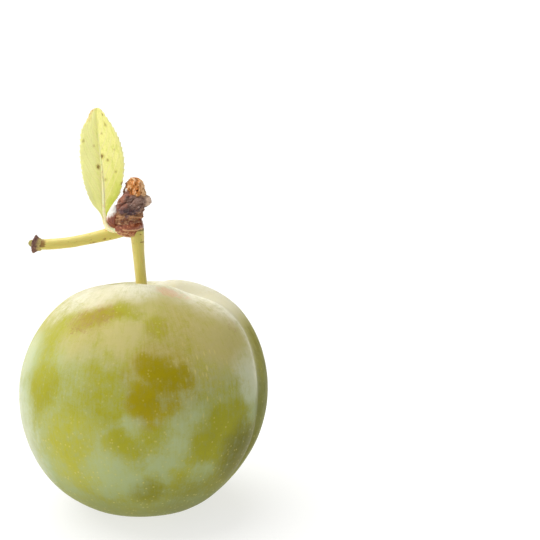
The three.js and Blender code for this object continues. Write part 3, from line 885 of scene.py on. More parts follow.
class Skin(Finish):
    """The fruit's skin, with the places and the unevenness that its colours are mixed from."""

    def __init__(self, fruit):
        super().__init__(
            "bloomed_skin",
            subsurface_weight=0.15,
            subsurface_radius=(1.0, 0.8, 0.25),
            subsurface_scale=1.2 * MM,
            specular_ior_level=0.11,
            sheen_weight=0.015,
            sheen_roughness=0.4,
            sheen_tint=tint(240, 242, 228),
        )
        self.fruit = fruit
        self.spot = spot = self.place_in_fruit(fruit)
        drift = self.clouds(spot, 0.22, 2.0, 0.5, 1) - 0.5
        self.ragged = self.clouds(spot, 1.1, 4.0, 0.65, 1) - 0.5
        self.way = normalized(spot + drift * 2.0 + self.ragged * 0.9)
        self.x, y, z = spot.parts()
        flat = larger(length(vector(self.x, y, 0.0)), 0.01)
        self.outwards = vector(self.x / flat, y / flat, 0.0)
        self.polar = work_out("ARCTAN2", flat, z)
        self.height = cosine(self.polar)
        self.strip = vector(self.x / flat * 24.0, y / flat * 24.0, self.polar * 8.0)
        self.broad = self.clouds(spot, 0.13, 2.0, 0.5) - 0.5
        self.patchy = self.clouds(spot, 0.55, 4.0, 0.65) - 0.5
        self.grain = self.clouds(spot, 1.5, 4.0, 0.65) - 0.5
        self.fine = self.clouds(spot, 5.0, 3.0, 0.7) - 0.5
        self.strokes = self.clouds(self.strip * (2.0, 2.0, 0.8), 1.0, 3.0, 0.6) - 0.5
        # whitest at the crown and at the marks: thick wax and painted highlight
        self.white_wax_and_highlight = larger(marked(self.way, WHITEST_AND_PAINTED_HIGHLIGHT), ease(self.height, 0.82, 0.98, 0.0, 0.7))

    def bloom(self):
        """How thick the wax lies, from 0 to 1."""
        bloom = 0.5 + 0.5 * marked(self.way, BLOOMED) - 0.52 * marked(self.way, RUBBED)
        bloom = bloom + 0.3 * self.broad + 1.0 * self.patchy + 0.6 * self.grain
        bloom = bloom + 0.6 * self.strokes + 0.5 * self.fine
        return ease(bloom, -0.07, 1.14)

    def flesh(self):
        """The skin's own colour under the wax, with painted shade as darker olive low on the right and
        underneath.
        """
        warm = ease(marked(self.way, WARM) + 0.9 * self.patchy + 0.5 * self.grain, 0.1, 0.95)
        yellow = ease(marked(self.way, YELLOW) + 0.6 * self.broad, 0.1, 0.9)
        flesh = blend(self.fruit.green, self.fruit.yellow, yellow)
        flesh = blend(flesh, self.fruit.amber, warm)
        # painted shade: darker olive flesh at the shaded marks
        flesh = blend(flesh, tint(92, 88, 2), 0.8 * marked(self.way, PAINTED_SHADE))
        uneven = ease(self.broad + 0.5 * self.patchy + 0.4 * self.strokes, -0.2, 0.3)
        flesh = blend(flesh, flesh * 0.86, uneven)
        return blend(flesh, flesh * 0.84, 0.6 * ease(self.grain + 0.6 * self.fine, 0.0, 0.2))

    def wax(self):
        """The wax's colour: warm high up, white round the stalk and where a highlight is painted, grey-green
        low down.
        """
        left = smaller(0.0, self.x * (1 / FRUIT_HALF_WIDTH))
        high = ease(self.height + 0.4 * self.broad + 0.35 * left, 0.15, 0.5)
        wax = blend(self.fruit.bloom, self.fruit.warm_bloom, high)
        wax = blend(wax, self.fruit.white_bloom, self.white_wax_and_highlight)
        return blend(wax, tint(166, 184, 146), 0.7 * zone(self.polar, 96, 118))

    def flushed(self, colour):
        """A colour with the pinkish mottling near the stalk, painted light as a pale glow on the left edge,
        and painted shade on the underside.
        """
        blush = ease(marked(self.way, BLUSH) + 1.6 * self.grain + 0.8 * self.fine, 0.35, 1.0)
        near_stalk = ease(self.height, 0.78, 0.88)
        rosy = blend(self.fruit.blush, tint(226, 182, 144), near_stalk)
        colour = blend(colour, rosy, (0.34 + 0.3 * near_stalk) * blush)
        brown = 0.4 * blush * ease(self.fine + self.grain, 0.02, 0.2) * (1.0 - self.white_wax_and_highlight)
        colour = blend(colour, tint(150, 118, 66), brown)
        # painted light: a pale glow laid over the left edge
        painted_left_light = ease(dot(self.way, way_to(*PAINTED_LIGHT_SIDE)) + 0.15 * self.patchy, 0.78, 1.0)
        colour = blend(colour, tint(238, 241, 232), 0.45 * painted_left_light)
        # painted shade: the underside made darker olive
        return blend(colour, tint(96, 98, 20), 0.5 * zone(self.polar, 114, 150))

    def grooved(self, colour):
        """A colour with the groove's own: a painted highlight along the near lip, a greyish valley of
        painted shade, and a far side partly rubbed clean and partly painted shade.
        """
        polar, grain, patchy = self.polar, self.grain, self.patchy
        beside = self.on_piece("beside") + 1.2 * self.ragged.parts()[0]
        from_lip = beside + zone(polar, 44, 60, 3.1, 1.3)
        # painted highlight along the crest of the near lip
        lip = (0.6 * bell(from_lip * 1.1) + 0.35 * bell(from_lip * 0.5)) * zone(polar, 94, 70)
        # painted shade: a greyish band down the groove
        valley = ease(from_lip, 0.1, 1.2) * ease(beside, 4.5, 1.0) * zone(polar, 82, 66)
        lower = zone(polar, 70, 88)
        front_half = ease(dot(self.outwards, way_to(90, GROOVE_SIDE)), -0.3, 0.3)
        rubbed = ease(marked(self.way, BARE_AND_SHADED) + 0.9 * patchy + 0.5 * self.strokes, 0.0, 1.1)
        # partly rubbed olive skin, partly painted shade on the groove's far side
        bare_and_shaded_side = ease(beside + 2.4 * lower, -0.2, 0.9) * rubbed
        hollow = blend(tint(222, 215, 180), tint(178, 170, 88), zone(polar, 42, 60))
        colour = blend(colour, hollow, 0.75 * valley * front_half)
        bare = (0.58 + 0.7 * grain + 0.5 * patchy + 0.4 * self.strokes) * bare_and_shaded_side * front_half
        colour = blend(colour, tint(118, 114, 12), bare)
        # painted highlight on the near lip
        return blend(colour, tint(250, 246, 222), lip * (0.65 + 1.2 * grain + 0.8 * patchy) * front_half)

    def marks(self, bloom):
        """Pale pores, larger scattered dots and the dashes that run towards the stalk."""
        pore = ease(self.cells(self.spot, 1.15), 0.26, 0.1)
        pore = pore * ease(self.clouds(self.spot, 0.5), 0.36, 0.56)
        pore = larger(pore, ease(self.cells(self.spot, 0.42), 0.09, 0.03))
        streak = ease(self.cells(self.strip, 1.1), 0.27, 0.1) * marked(self.way, DASHED)
        pore = (0.38 + 0.4 * zone(self.polar, 84, 104)) * pore
        return larger(pore, streak) * (1.0 - 0.4 * bloom)


def skin_finish(fruit):
    """Thin-skinned, juicy, under a wax bloom that is rubbed off in patches, with pale pores."""
    skin = Skin(fruit)
    bloom = skin.bloom()
    colour = blend(skin.flesh(), skin.wax(), bloom * (0.66 + 0.28 * skin.white_wax_and_highlight))
    colour = skin.grooved(skin.flushed(colour))
    marks = skin.marks(bloom)
    skin.feed("Base Color", blend(colour, tint(216, 203, 120), 0.7 * marks))
    skin.feed("Roughness", 0.4 + 0.25 * bloom + 0.15 * skin.grain)
    skin.relief(0.5 + 0.25 * skin.grain + 0.2 * skin.fine + 0.4 * marks, 0.3, 0.05 * MM)
    return skin.material


class PLUM_OT_fruit(bpy.types.Operator):
    """Grow the fruit, with its groove and the hollow at its stalk"""

    bl_idname = "plum.fruit"
    bl_label = "Fruit"

    def execute(self, context):
        look = context.scene.plum_fruit
        sizes = {name: getattr(look, name) for name in FRUIT_SIZES}
        form = fruit_form(skin_finish(look))
        start = bpy.data.meshes.new("start")
        fruit = grown("fruit", form, start, points_around=421, rings=221, **sizes)
        keep(fruit, "skin", "plum")
        return {"FINISHED"}


# ------------------------------------------------------------------ stalks

STALK_PATH = (
    (0.16, 0, 12.6),
    (0.15, 0, 14.2),
    (0.1, 0, 17.5),
    (-0.02, 0, 20.5),
    (-0.28, 0, 24.5),
    (-0.5, 0, 28.9),
)
BARE_STALK_PATH = (
    (-2.7, 0.75, 28.75),
    (-5.02, 0.65, 28.1),
    (-8.39, 0.5, 27.38),
    (-11.75, 0.35, 26.82),
    (-15.09, 0.3, 26.58),
    (-16.9, 0.4, 26.62),
    (-17.6, 0.48, 26.74),
)


STEM_GRAIN = (900.0, 900.0, 350.0)  # how fine the relief is across and up, per metre
NO_DRY_END = 2.0  # a share of a stalk's length that it never reaches


def stem_form(material):
    """A stem along the given curve, widened at its root and its tip, with low ribs along it."""
    form = Form("stem form")
    radius, taper = form.size("Radius"), form.size("Tip Share")
    root, root_length = form.size("Root Flare"), form.size("Root Length")
    tip, tip_length = form.size("Tip Flare"), form.size("Tip Length")
    ribs, rib_height = form.size("Ribs"), form.size("Rib Height")
    relief = form.size("Relief")
    around, rings = form.size("Points Around", int), form.size("Rings", int)

    curve = form.add("GeometryNodeCurveSplineType", {"spline_type": "CATMULL_ROM"}, {0: form.given()})
    curve = form.add("GeometryNodeResampleCurve", {}, {"Curve": curve, "Count": rings})
    along = form.add("GeometryNodeSplineParameter", {}, {})
    share, travelled = along, along.out("Length")
    total = form.add("GeometryNodeSplineLength", {}, {})
    curve = form.store(curve, "share", share)
    flare = root * bell(travelled / root_length) + tip * bell((total - travelled) / tip_length)
    scale = radius * (1.0 + (taper - 1.0) * share) + flare

    profile = form.add("GeometryNodeCurvePrimitiveCircle", {}, {"Resolution": around, "Radius": 1.0})
    turn = form.add("GeometryNodeSplineParameter", {}, {})
    profile = form.store(profile, "turn", turn)
    sockets = {"Curve": curve, "Profile Curve": profile, "Scale": scale, "Fill Caps": True}
    stem = form.add("GeometryNodeCurveToMesh", {}, sockets)
    ribbed = rib_height * sine(form.recall("turn") * (2 * math.pi) * ribs)
    rough = relief * (form.clouds(form.position() * STEM_GRAIN, 1.0, 3.0) - 0.5)
    normal = form.add("GeometryNodeInputNormal", {}, {})
    stem = form.move(stem, offset=normal * (ribbed + rough))
    form.finish(stem, material)
    return form


def stem(name, path, material, **sizes):
    return grown(name, stem_form(material), path_data(name, path), **sizes)


def stalk_finish(name, look, marks, dry_from=NO_DRY_END):
    """Olive stalk with cream streaks and a painted highlight on its top and on its sides as seen from the
    front, rows of long brown flecks, and dry brown from a share of its length. Each mark is a share of the
    stalk's length, half its own length as a share, the side it is on, and a width."""
    stalk = Finish(name, subsurface_weight=0.15, subsurface_scale=0.6 * MM, specular_ior_level=0.35)
    place = stalk.place()
    share = stalk.on_piece("share")
    turn = stalk.on_piece("turn")
    soft = stalk.clouds(place, 0.6, 2.0) - 0.5
    fibres = stalk.clouds(vector(turn * 30.0, share * 2.5, 0.0), 1.0, 3.0, 0.6) - 0.5
    facing = stalk.add("ShaderNodeNewGeometry", {}, {}, "Normal")
    _, front, up = facing.parts()
    # painted highlight: cream on the sides seen from the front and on the top
    pale = ease(size_of(front) + 0.5 * soft + 0.5 * fibres, 0.95, 0.5)
    pale = larger(pale, 0.7 * ease(up + soft, 0.2, 0.9))
    colour = blend(look.olive, look.cream, larger(0.0, 0.38 + 0.45 * pale + 1.1 * fibres))
    speck = ease(stalk.cells(vector(turn * 22.0, share * 14.0, 0.0), 1.0), 0.2, 0.08)
    speck = speck * ease(stalk.clouds(place, 0.4), 0.5, 0.6)
    for at, half_length, side, width in marks:
        near = bell((share - at) * (1 / half_length)) * ease(dot(facing, side), 1.0 - width, 1.0)
        speck = larger(speck, ease(near + 2.6 * fibres + 0.9 * soft, 0.45, 0.85))
    colour = blend(colour, look.fleck, 0.8 * speck)
    dried = ease(share, dry_from, dry_from + 0.11) * ease(fibres + 0.8 * soft, -0.16, 0.12)
    dried = larger(dried, ease(share, 0.965, 0.985))
    colour = blend(colour, look.dry, 0.8 * dried)
    stalk.feed("Base Color", colour)
    stalk.feed("Roughness", 0.45 + 0.3 * dried + 0.3 * fibres)
    stalk.relief(0.5 + fibres + 0.4 * soft - 0.4 * speck, 0.35, 0.06 * MM)
    return stalk.material


CUP_POINTS_AROUND = 96
CUP_STEPS = 4  # rings for each row of the section
# Lobes round the cup: how far they stand out against its radius, how many, where they start, and how much
# they turn from ring to ring, in radians.
CUP_LOBES = ((0.05, 3, 0.6, 0.0), (0.035, 7, 0.0, 0.1))
CUP_SLANT = 0.1  # how much further two sides of the rim reach along the stalk, against its radius
CUP_GRAIN_OUT = 0.07  # how far the grain moves a point outwards, in millimetres, and along the stalk
CUP_GRAIN_ALONG = 0.05
# The cup's section from the stalk's skin over the rim to the middle: distance out along the stalk and
# radius, in millimetres.
CUP_SECTION = (
    (-1.15, 0.9),
    (-0.9, 1.02),
    (-0.6, 1.1),
    (-0.35, 1.24),
    (-0.12, 1.42),
    (0.05, 1.53),
    (0.16, 1.55),
    (0.2, 1.46),
    (0.1, 1.34),
    (-0.12, 1.2),
    (-0.3, 1.0),
    (-0.34, 0.84),
    (-0.28, 0.72),
    (0.05, 0.68),
    (0.45, 0.62),
    (0.8, 0.5),
    (1.02, 0.28),
    (1.08, 0.0),
)


def cup_piece():
    """The flared dry end of the bare stalk, turned round its axis, with a nub in the middle."""
    tip = np.array(BARE_STALK_PATH[-1], float)
    axis = tip - np.array(BARE_STALK_PATH[-2], float)
    axis /= np.linalg.norm(axis)
    side = np.cross(axis, (0.0, 0.0, 1.0))
    side /= np.linalg.norm(side)
    over = np.cross(side, axis)
    section = rounded(CUP_SECTION, CUP_STEPS)
    angles = np.linspace(0, 2 * math.pi, CUP_POINTS_AROUND, endpoint=False)
    points = []
    for row, (out, radius) in enumerate(section):
        for angle in angles:
            wobble = 1
            for much, lobes, start, twist in CUP_LOBES:
                wobble = wobble + much * math.sin(lobes * angle + start + row * twist)
            reach = CUP_SLANT * math.sin(2 * angle + 1.0) * radius
            grain = noise.noise(Vector((3 * math.cos(angle), 3 * math.sin(angle), 2.5 * out)))
            wide = radius * wobble + CUP_GRAIN_OUT * grain
            spread = wide * (math.cos(angle) * side + math.sin(angle) * over)
            points.append(tip + (out + reach + CUP_GRAIN_ALONG * grain) * axis + spread)
    rings = np.array(points).reshape(len(section), CUP_POINTS_AROUND, 3)
    depth = np.arange(len(section))[:, None] / (len(section) - 1) * np.ones(CUP_POINTS_AROUND)
    ends = [rings[0].mean(axis=0), rings[-1].mean(axis=0)]
    return tube("stalk_cup", rings, ends, cup_finish(), depth=depth)


def cup_finish():
    """Dry, dark and wrinkled, with an olive nub."""
    cup = Finish("dry_cup", roughness=0.75)
    place = cup.place()
    depth = cup.on_piece("depth")
    grain = cup.clouds(place, 3.0, 4.0, 0.6)
    mottle = grain - 0.5
    x, y, z = place.parts()
    streaks = cup.clouds(vector(x * 1.4, y * 2.6, z * 2.6), 1.0, 3.0, 0.6)
    colour = blend(tint(122, 84, 78), tint(176, 146, 122), ease(streaks + 0.5 * mottle, 0.5, 0.75))
    colour = blend(colour, tint(86, 56, 58), 0.8 * ease(streaks + 0.5 * mottle, 0.46, 0.34))
    colour = blend(tint(196, 176, 104), colour, ease(depth + 0.3 * mottle, 0.02, 0.2))
    colour = blend(colour, tint(56, 36, 30), bell((depth - 0.6) * 12.0))
    colour = blend(colour, tint(168, 156, 84), ease(depth + 0.06 * mottle, 0.68, 0.76))
    cup.feed("Base Color", colour)
    cup.relief(grain, 0.5, 0.15 * MM)
    return cup.material


class PLUM_OT_stalks(bpy.types.Operator):
    """Grow the fruit's stalk and the bare stalk whose fruit has gone"""

    bl_idname = "plum.stalks"
    bl_label = "Stalks"

    def execute(self, context):
        look = context.scene.plum_stalk
        flecks = ((0.86, 0.012, (0.75, -0.66, 0.0), 0.2), (0.94, 0.01, (0.5, -0.86, 0.0), 0.15))
        stalk = stem(
            "fruit_stalk_skin",
            STALK_PATH,
            stalk_finish("stalk_green", look, flecks),
            radius=look.radius,
            tip_share=1.0,
            root_flare=look.foot_flare,
            root_length=2.6 * MM,
            tip_flare=look.head_flare,
            tip_length=3.2 * MM,
            ribs=3.0,
            rib_height=0.03 * MM,
            relief=0.09 * MM,
            points_around=72,
            rings=220,
        )
        keep(stalk, "stalk", "fruit_stalk")
        flecks = (
            (0.37, 0.06, (0.0, -0.7, -0.71), 0.06),
            (0.23, 0.03, (0.0, -0.92, -0.39), 0.04),
            (0.17, 0.015, (0.0, -0.85, -0.53), 0.05),
            (0.91, 0.04, (0.0, -0.9, 0.4), 1.2),
        )
        bare = stem(
            "bare_stalk_skin",
            BARE_STALK_PATH,
            stalk_finish("bare_stalk_green", look, flecks, 0.86),
            radius=look.bare_radius,
            tip_share=0.98,
            root_flare=0.22 * MM,
            root_length=4.3 * MM,
            tip_flare=0.0,
            tip_length=0.75 * MM,
            ribs=2.0,
            rib_height=0.03 * MM,
            relief=0.1 * MM,
            points_around=72,
            rings=220,
        )
        keep(bare, "stalk", "bare_stalk")
        keep(cup_piece(), "stalk")
        return {"FINISHED"}


# ------------------------------------------------------------------ spur

# The spur from its foot up, in the fruit's frame, in millimetres: height, where its spine is (x), and its
# half-width.
SPUR_SECTIONS = np.array(
    (
        (27.45, -1.75, 0.5),
        (27.85, -1.9, 1.5),
        (28.5, -2.1, 2.15),
        (29.4, -2.25, 2.5),
        (30.6, -2.3, 2.65),
        (31.6, -2.1, 2.7),
        (32.6, -1.6, 2.6),
        (33.5, -0.95, 2.35),
        (34.4, -0.75, 2.05),
        (35.1, -0.7, 1.75),
        (36.0, -0.65, 1.6),
        (36.7, -0.65, 1.28),
        (37.2, -0.75, 0.85),
        (37.5, -0.8, 0.35),
    )
)
SPUR_FLATTENING = 0.96
SPUR_RINGS = 300
SPUR_POINTS_AROUND = 300

# Knobs where leaves and older stalks stood: height, way round, half-width, how far it stands out.
KNOBS = (
    (33.9, -142, 1.0, 0.7),
    (33.5, -8, 1.1, 0.66),
    (34.0, -28, 0.6, 0.3),
    (33.15, -72, 1.0, 0.5),
    (33.65, -101, 0.5, -0.3),
    (32.3, -50, 0.85, 0.38),
    (32.45, -108, 0.95, 0.4),
    (33.4, 62, 1.4, 0.7),
    (32.6, 128, 1.3, 0.5),
    (31.6, 40, 1.2, 0.3),
)
KNOB_CREASE = 0.12  # depth of the crease round a knob
# Layers of noise on the spur: height in millimetres, how much finer it is upwards, a shift that sets it
# apart from the others, how fine it is, and its octaves.
WANDER = ((0.16, 1, 11.0, 1.1, 2),)  # of the rings and the knobs' outlines
BARK = ((0.1, 1, 0.0, 1.7, 3), (0.09, 1.6, 7.0, 3.4, 4))
SPLINTERS = ((0.26, 0.45, 3.0, 2.2, 3), (0.12, 1, 5.0, 5.0, 3))
THINNEST = 0.15  # the least half-width of the spur
# Rings in the bark: their heights, how wide and how high each is, and how deep the trough under it is.
RIDGE_HEIGHTS = (30.15, 30.7, 31.2, 31.7)
RIDGE_WIDTH = 0.17
RIDGE_RISE = 0.2
RIDGE_TROUGH = 0.12
# Where the torn edge lies higher or lower: the way round, how far it spreads, in radians, and by how much.
TORN_EDGE = ((-152, 0.55, 1.0), (-46, 0.4, -0.45))
SPUR_TIP = np.array((0, 0, 0.05))  # from the last ring of points to the point that closes it
# The closed bud that lies against the spur: points of its axis from foot to tip, in the fruit's frame, and
# its half-width at even steps along it, as a share of the widest.
BUD_PATH = (
    (-4.3, -1.25, 28.95),
    (-4.58, -1.55, 29.9),
    (-4.62, -1.65, 30.8),
    (-4.55, -1.6, 31.7),
    (-4.38, -1.45, 32.5),
    (-4.12, -1.25, 33.15),
)
BUD_GIRTHS = (0.0, 0.6, 0.85, 0.97, 1.0, 0.98, 0.9, 0.78, 0.62, 0.42, 0.0)
# Where its scales end: a share of the bud's length, and the side on which each reaches furthest, in radians.
BUD_LAPS = ((0.3, 2.6), (0.52, -1.1), (0.74, 0.8))
BUD_LAP = 0.09  # how far a scale's edge stands out
BUD_RINGS = 120
BUD_POINTS_AROUND = 120

# Bud scales round the spur's foot: height of the free edge's lowest point, way round, half-width, how far
# the edge rises towards its sides, its slant, and how far it stands off.
BUD_SCALES = (
    (27.8, -122, 2.5, 0.5, -0.6, 0.14),
    (27.65, -38, 2.5, 0.9, 0.12, 0.12),
    (27.8, 45, 2.5, 0.9, -0.1, 0.12),
    (27.75, 130, 2.5, 0.9, 0.15, 0.12),
    (28.5, -134, 2.2, 0.4, -0.75, 0.42),
    (28.65, -68, 2.2, 0.5, 0.1, 0.4),
    (28.8, -4, 2.0, 0.6, 0.1, 0.3),
    (28.8, 66, 2.1, 0.7, -0.15, 0.34),
    (28.9, 136, 2.0, 0.7, 0.1, 0.34),
)
SCALE_TALL = 2.1  # from a scale's lowest point up to where it grows out of the spur
SCALE_THICKNESS = 0.3
SCALE_GAP = 0.1  # how far a scale's free edge lies off the spur, besides what it is proud by
SCALE_DIVES = 0.3  # how much deeper its upper end lies
SCALE_HUGS = 0.15  # how much deeper its sides lie
SCALE_SEAT = 0.35  # how much slimmer the spur is behind the scales
SPUR_FOOT_HALF_WIDTH = 2.5
SPUR_FOOT_X = -2.1  # where the spur's spine is behind the scales
SPUR_FOOT = (27.0 * MM, 29.6 * MM)  # heights between which the spur widens behind the scales
SPUR_FOOT_SHARE = 0.42  # its half-width at the lower one against that at the upper one


def spur_surface(look):
    """The spur's points ring by ring from its foot, and for each how torn, knobbed and raised it is."""
    first, last = SPUR_SECTIONS[0, 0], SPUR_SECTIONS[-1, 0]
    height = np.linspace(first, last, SPUR_RINGS)[:, None]
    azimuth = np.linspace(0, 2 * math.pi, SPUR_POINTS_AROUND, endpoint=False)[None, :]
    height, azimuth = np.broadcast_arrays(height, azimuth)
    middle = along(SPUR_SECTIONS, height, 1)
    girth = along(SPUR_SECTIONS, height, 2) * look.girth
    core = np.stack([girth * np.cos(azimuth), girth * np.sin(azimuth), height], axis=-1)
    radius = girth - SCALE_SEAT * (1 - eased(height, 28.8, 30.2))
    wander = crumbled(core, WANDER)
    knobbed = np.zeros_like(radius)
    for at, way, size, proud in KNOBS:
        across = turn_between(rad(way), azimuth) * girth
        apart = np.hypot(across, height - at) / size + 0.5 * wander
        radius = radius + proud * dome(apart)
        radius = radius - KNOB_CREASE * (proud > 0) * hump((apart - 1.05) / 0.16)
        knobbed = np.maximum(knobbed, eased(apart, 1.35, 0.75))
    for at in RIDGE_HEIGHTS:
        tilt = 0.22 * np.sin(azimuth + 5 * at) + 0.12 * np.sin(3 * azimuth + 2 * at) + wander
        rim = (height - at - tilt) / RIDGE_WIDTH
        radius = radius + RIDGE_RISE * hump(rim) - RIDGE_TROUGH * hump(rim + 1.6)
    torn_from = look.torn_from / MM
    for way, spread, rise in TORN_EDGE:
        torn_from = torn_from + rise * hump(turn_between(rad(way), azimuth) / spread)
    torn = eased(height + 0.35 * waves(*np.moveaxis(core * 1.3, -1, 0)) - torn_from, 0.0, 0.4)
    rough = look.roughness / MM * (1 + torn)
    radius = radius + rough * waves(*np.moveaxis(core * 1.7, -1, 0))
    relief = crumbled(core, BARK) * (1 - torn) + crumbled(core, SPLINTERS) * torn
    radius = np.maximum(radius + relief, THINNEST)
    x, y = middle + radius * np.cos(azimuth), SPUR_FLATTENING * radius * np.sin(azimuth)
    return np.stack([x, y, height], axis=-1), torn, knobbed, relief


def bud_piece(fruit, look):
    """A closed bud: a smooth teardrop wrapped in overlapping scales."""
    axis = rounded(BUD_PATH, 40)
    girths = np.array([[k, girth] for k, girth in enumerate(BUD_GIRTHS)], float)
    share = np.linspace(0.01, 0.99, BUD_RINGS)[:, None]
    angle = np.linspace(0, 2 * math.pi, BUD_POINTS_AROUND, endpoint=False)[None, :]
    share, angle = np.broadcast_arrays(share, angle)
    girth = along(girths, share * (len(girths) - 1), 1) * look.bud_girth / MM
    lap = np.zeros_like(share)
    for at, side in BUD_LAPS:
        edge = at + 0.16 * np.cos(angle - side)
        lap = lap + eased(edge - share, -0.012, 0.012) * np.clip(1 - (edge - share) / 0.3, 0, 1)
    radius = girth * (1 + 0.03 * np.sin(3 * angle + 4 * share)) + BUD_LAP * lap * (girth > 0.15)
    steps = np.linspace(0, 1, len(axis))
    middle = np.stack([np.interp(share, steps, axis[:, k]) for k in range(3)], axis=-1)
    points = middle + np.stack([radius * np.cos(angle), radius * np.sin(angle), 0 * angle], axis=-1)
    return tube("spur_bud", points, [axis[0], axis[-1]], bud_finish(fruit), share=share, lap=lap)


def bud_finish(fruit):
    """Glossy chestnut scales, turning near white on the upper outer side: partly silvery down, partly a
    painted highlight.
    """
    bud = Finish("bud", coat_weight=0.3, coat_roughness=0.25)
    place = bud.place_in_fruit(fruit)
    share, lap = bud.on_piece("share"), bud.on_piece("lap")
    x, y, z = place.parts()
    grain = bud.clouds(place, 2.0, 3.0, 0.6)
    mottle = grain - 0.5
    streaks = bud.clouds(vector(x * 4.0, y * 4.0, z * 0.9), 1.0, 3.0, 0.6)
    colour = blend(tint(150, 76, 48), tint(92, 38, 26), 0.7 * ease(streaks - 0.1 * (x + 4.6), 0.42, 0.66))
    colour = blend(colour, tint(196, 128, 92), 0.7 * ease(lap + 0.8 * (streaks - 0.5), 0.85, 1.05))
    # partly silvery down, partly a painted highlight: near white on the upper left
    down = ease(z - 0.55 * x + 1.3 * mottle + 0.8 * (streaks - 0.5), 33.2, 34.6)
    colour = blend(colour, tint(214, 176, 156), ease(down, 0.0, 0.4))
    colour = blend(colour, tint(248, 243, 236), ease(down, 0.25, 0.8))
    bud.feed("Base Color", colour)
    bud.feed("Roughness", 0.36 + 0.3 * mottle + 0.3 * down)
    bud.relief(streaks + 0.3 * share, 0.4, 0.06 * MM)
    return bud.material


# Places in the fruit's frame, in millimetres.
SPUR_SPINE_X = -1.9
KNOBS_FROM = (30.75, 31.45)  # heights between which ringed bark gives way to knobs
KNOBS_MIDDLE = 32.6
TORN_MIDDLE = 36.0
UNDER_KNOBS = (-2.2, 32.2)  # where the painted shade under the knobs is darkest, across and up
PALE_FLAKE = (-2.3, -0.95, 35.6)


class Bark(Finish):
    """The spur's bark, with the places and the unevenness that its colours are mixed from."""

    def __init__(self, fruit, look):
        super().__init__("spur_bark", specular_ior_level=0.45)
        self.look = look
        self.spot = self.place_in_fruit(fruit)
        self.grain = self.clouds(self.spot, 1.1, 4.0, 0.65)
        self.fine = self.clouds(self.spot, 4.2, 4.0, 0.7)
        self.mottle = self.grain - 0.5
        self.speckle = self.fine - 0.5
        self.x, _, self.height = self.spot.parts()
        raised = self.on_piece("raised") + 0.25 * self.speckle
        # painted highlight on raised bark and painted shade in its pits
        self.peak_highlight = ease(raised, 0.01, 0.17)
        self.pit_shade = ease(raised, -0.02, -0.17)

    def ringed(self):
        """Tan bark in rings, below the knobs, with a painted highlight on its ridges and painted shade in
        its pits.
        """
        band = blend(self.look.band, tint(134, 76, 46), ease(self.grain, 0.42, 0.62))
        band = blend(band, tint(112, 104, 100), 0.6 * ease(self.fine + 0.5 * self.mottle, 0.52, 0.66))
        band = blend(band, tint(232, 190, 144), 0.9 * self.peak_highlight)
        return blend(band, tint(70, 40, 28), 0.8 * self.pit_shade)

    def knobbed(self):
        """Grey-purple bark, with a painted highlight on the right and on raised places, and painted shade in
        its pits.
        """
        x, height = self.x, self.height
        brown = ease(self.grain - 0.09 * (x - SPUR_SPINE_X), 0.42, 0.66)
        purple = ease(self.fine - 0.3 * (height - KNOBS_MIDDLE), 0.5, 0.8)
        grey = blend(self.look.knob, tint(160, 98, 74), brown)
        grey = blend(grey, tint(90, 76, 92), 0.7 * purple)
        grey = blend(grey, tint(216, 190, 180), 0.75 * self.peak_highlight)
        # painted highlight on the knobs' right side
        grey = blend(grey, tint(226, 196, 172), 0.85 * ease(x + 0.9 * self.mottle, 0.8, 1.4))
        return blend(grey, tint(46, 30, 32), 0.8 * self.pit_shade)

    def torn(self):
        """Orange wood, with a painted highlight on its splinters and its right side, painted shade in its
        pits, and dark on its left edge.
        """
        # painted highlight on the splinters and the right side
        pale = larger(self.peak_highlight, ease(self.x + 1.5 * self.mottle, 0.0, 0.7))
        left_edge = ease(self.x + 1.2 * self.mottle - 0.25 * (self.height - TORN_MIDDLE), -1.8, -2.3)
        wood = blend(self.look.torn, tint(220, 128, 48), ease(self.grain, 0.47, 0.62))
        wood = blend(wood, tint(250, 214, 166), 0.75 * pale)
        wood = blend(wood, tint(96, 46, 20), 0.9 * self.pit_shade)
        return blend(wood, tint(98, 60, 50), 0.85 * left_edge)


def bark_finish(fruit, look):
    """Ringed tan bark, grey-purple knobs and torn orange wood, with painted shade in the pits and under the
    knobs and a painted highlight on the peaks.
    """
    bark = Bark(fruit, look)
    knob, torn = bark.on_piece("knob"), bark.on_piece("torn")
    x, height, mottle, speckle = bark.x, bark.height, bark.mottle, bark.speckle
    upper = height - 0.42 * size_of(x - SPUR_SPINE_X) + 2.4 * mottle + 0.9 * speckle
    upper = ease(upper, *KNOBS_FROM)
    colour = blend(bark.ringed(), bark.knobbed(), larger(upper, 0.5 * knob))
    shade_x, shade_height = UNDER_KNOBS
    # painted shade under the knobs
    shade = bell(length(vector((x - shade_x) * 0.8, 0.0, (height - shade_height) * 1.3)))
    colour = blend(colour, tint(50, 38, 46), 0.6 * shade)
    colour = blend(colour, bark.torn(), torn)
    rind = torn * (1 - torn) * 4.0
    colour = blend(colour, tint(74, 44, 34), 0.6 * ease(rind + bark.fine - 0.5, 0.5, 0.9))
    flake = bell(length(bark.spot - PALE_FLAKE) * 1.9)
    colour = blend(colour, tint(232, 224, 214), ease(flake + 1.2 * speckle, 0.4, 0.75))
    bark.feed("Base Color", colour)
    bark.feed("Roughness", 0.62 + 0.25 * bark.pit_shade - 0.15 * bark.peak_highlight + 0.2 * speckle)
    bark.relief(0.5 * bark.grain + bark.fine, 0.7, 0.14 * MM)
    return bark.material


class PLUM_OT_spur(bpy.types.Operator):
    """Carve the knobbly woody spur"""

    bl_idname = "plum.spur"
    bl_label = "Spur"

    def execute(self, context):
        fruit, look = context.scene.plum_fruit, context.scene.plum_spur
        rings, torn, knob, raised = spur_surface(look)
        ends = [rings[0].mean(axis=0) - SPUR_TIP, rings[-1].mean(axis=0) + SPUR_TIP]
        finish = bark_finish(fruit, look)
        spur = tube("spur_bark", rings, ends, finish, torn=torn, knob=knob, raised=raised)
        keep(spur, "bark", "spur")
        keep(bud_piece(fruit, look), "bark")
        return {"FINISHED"}


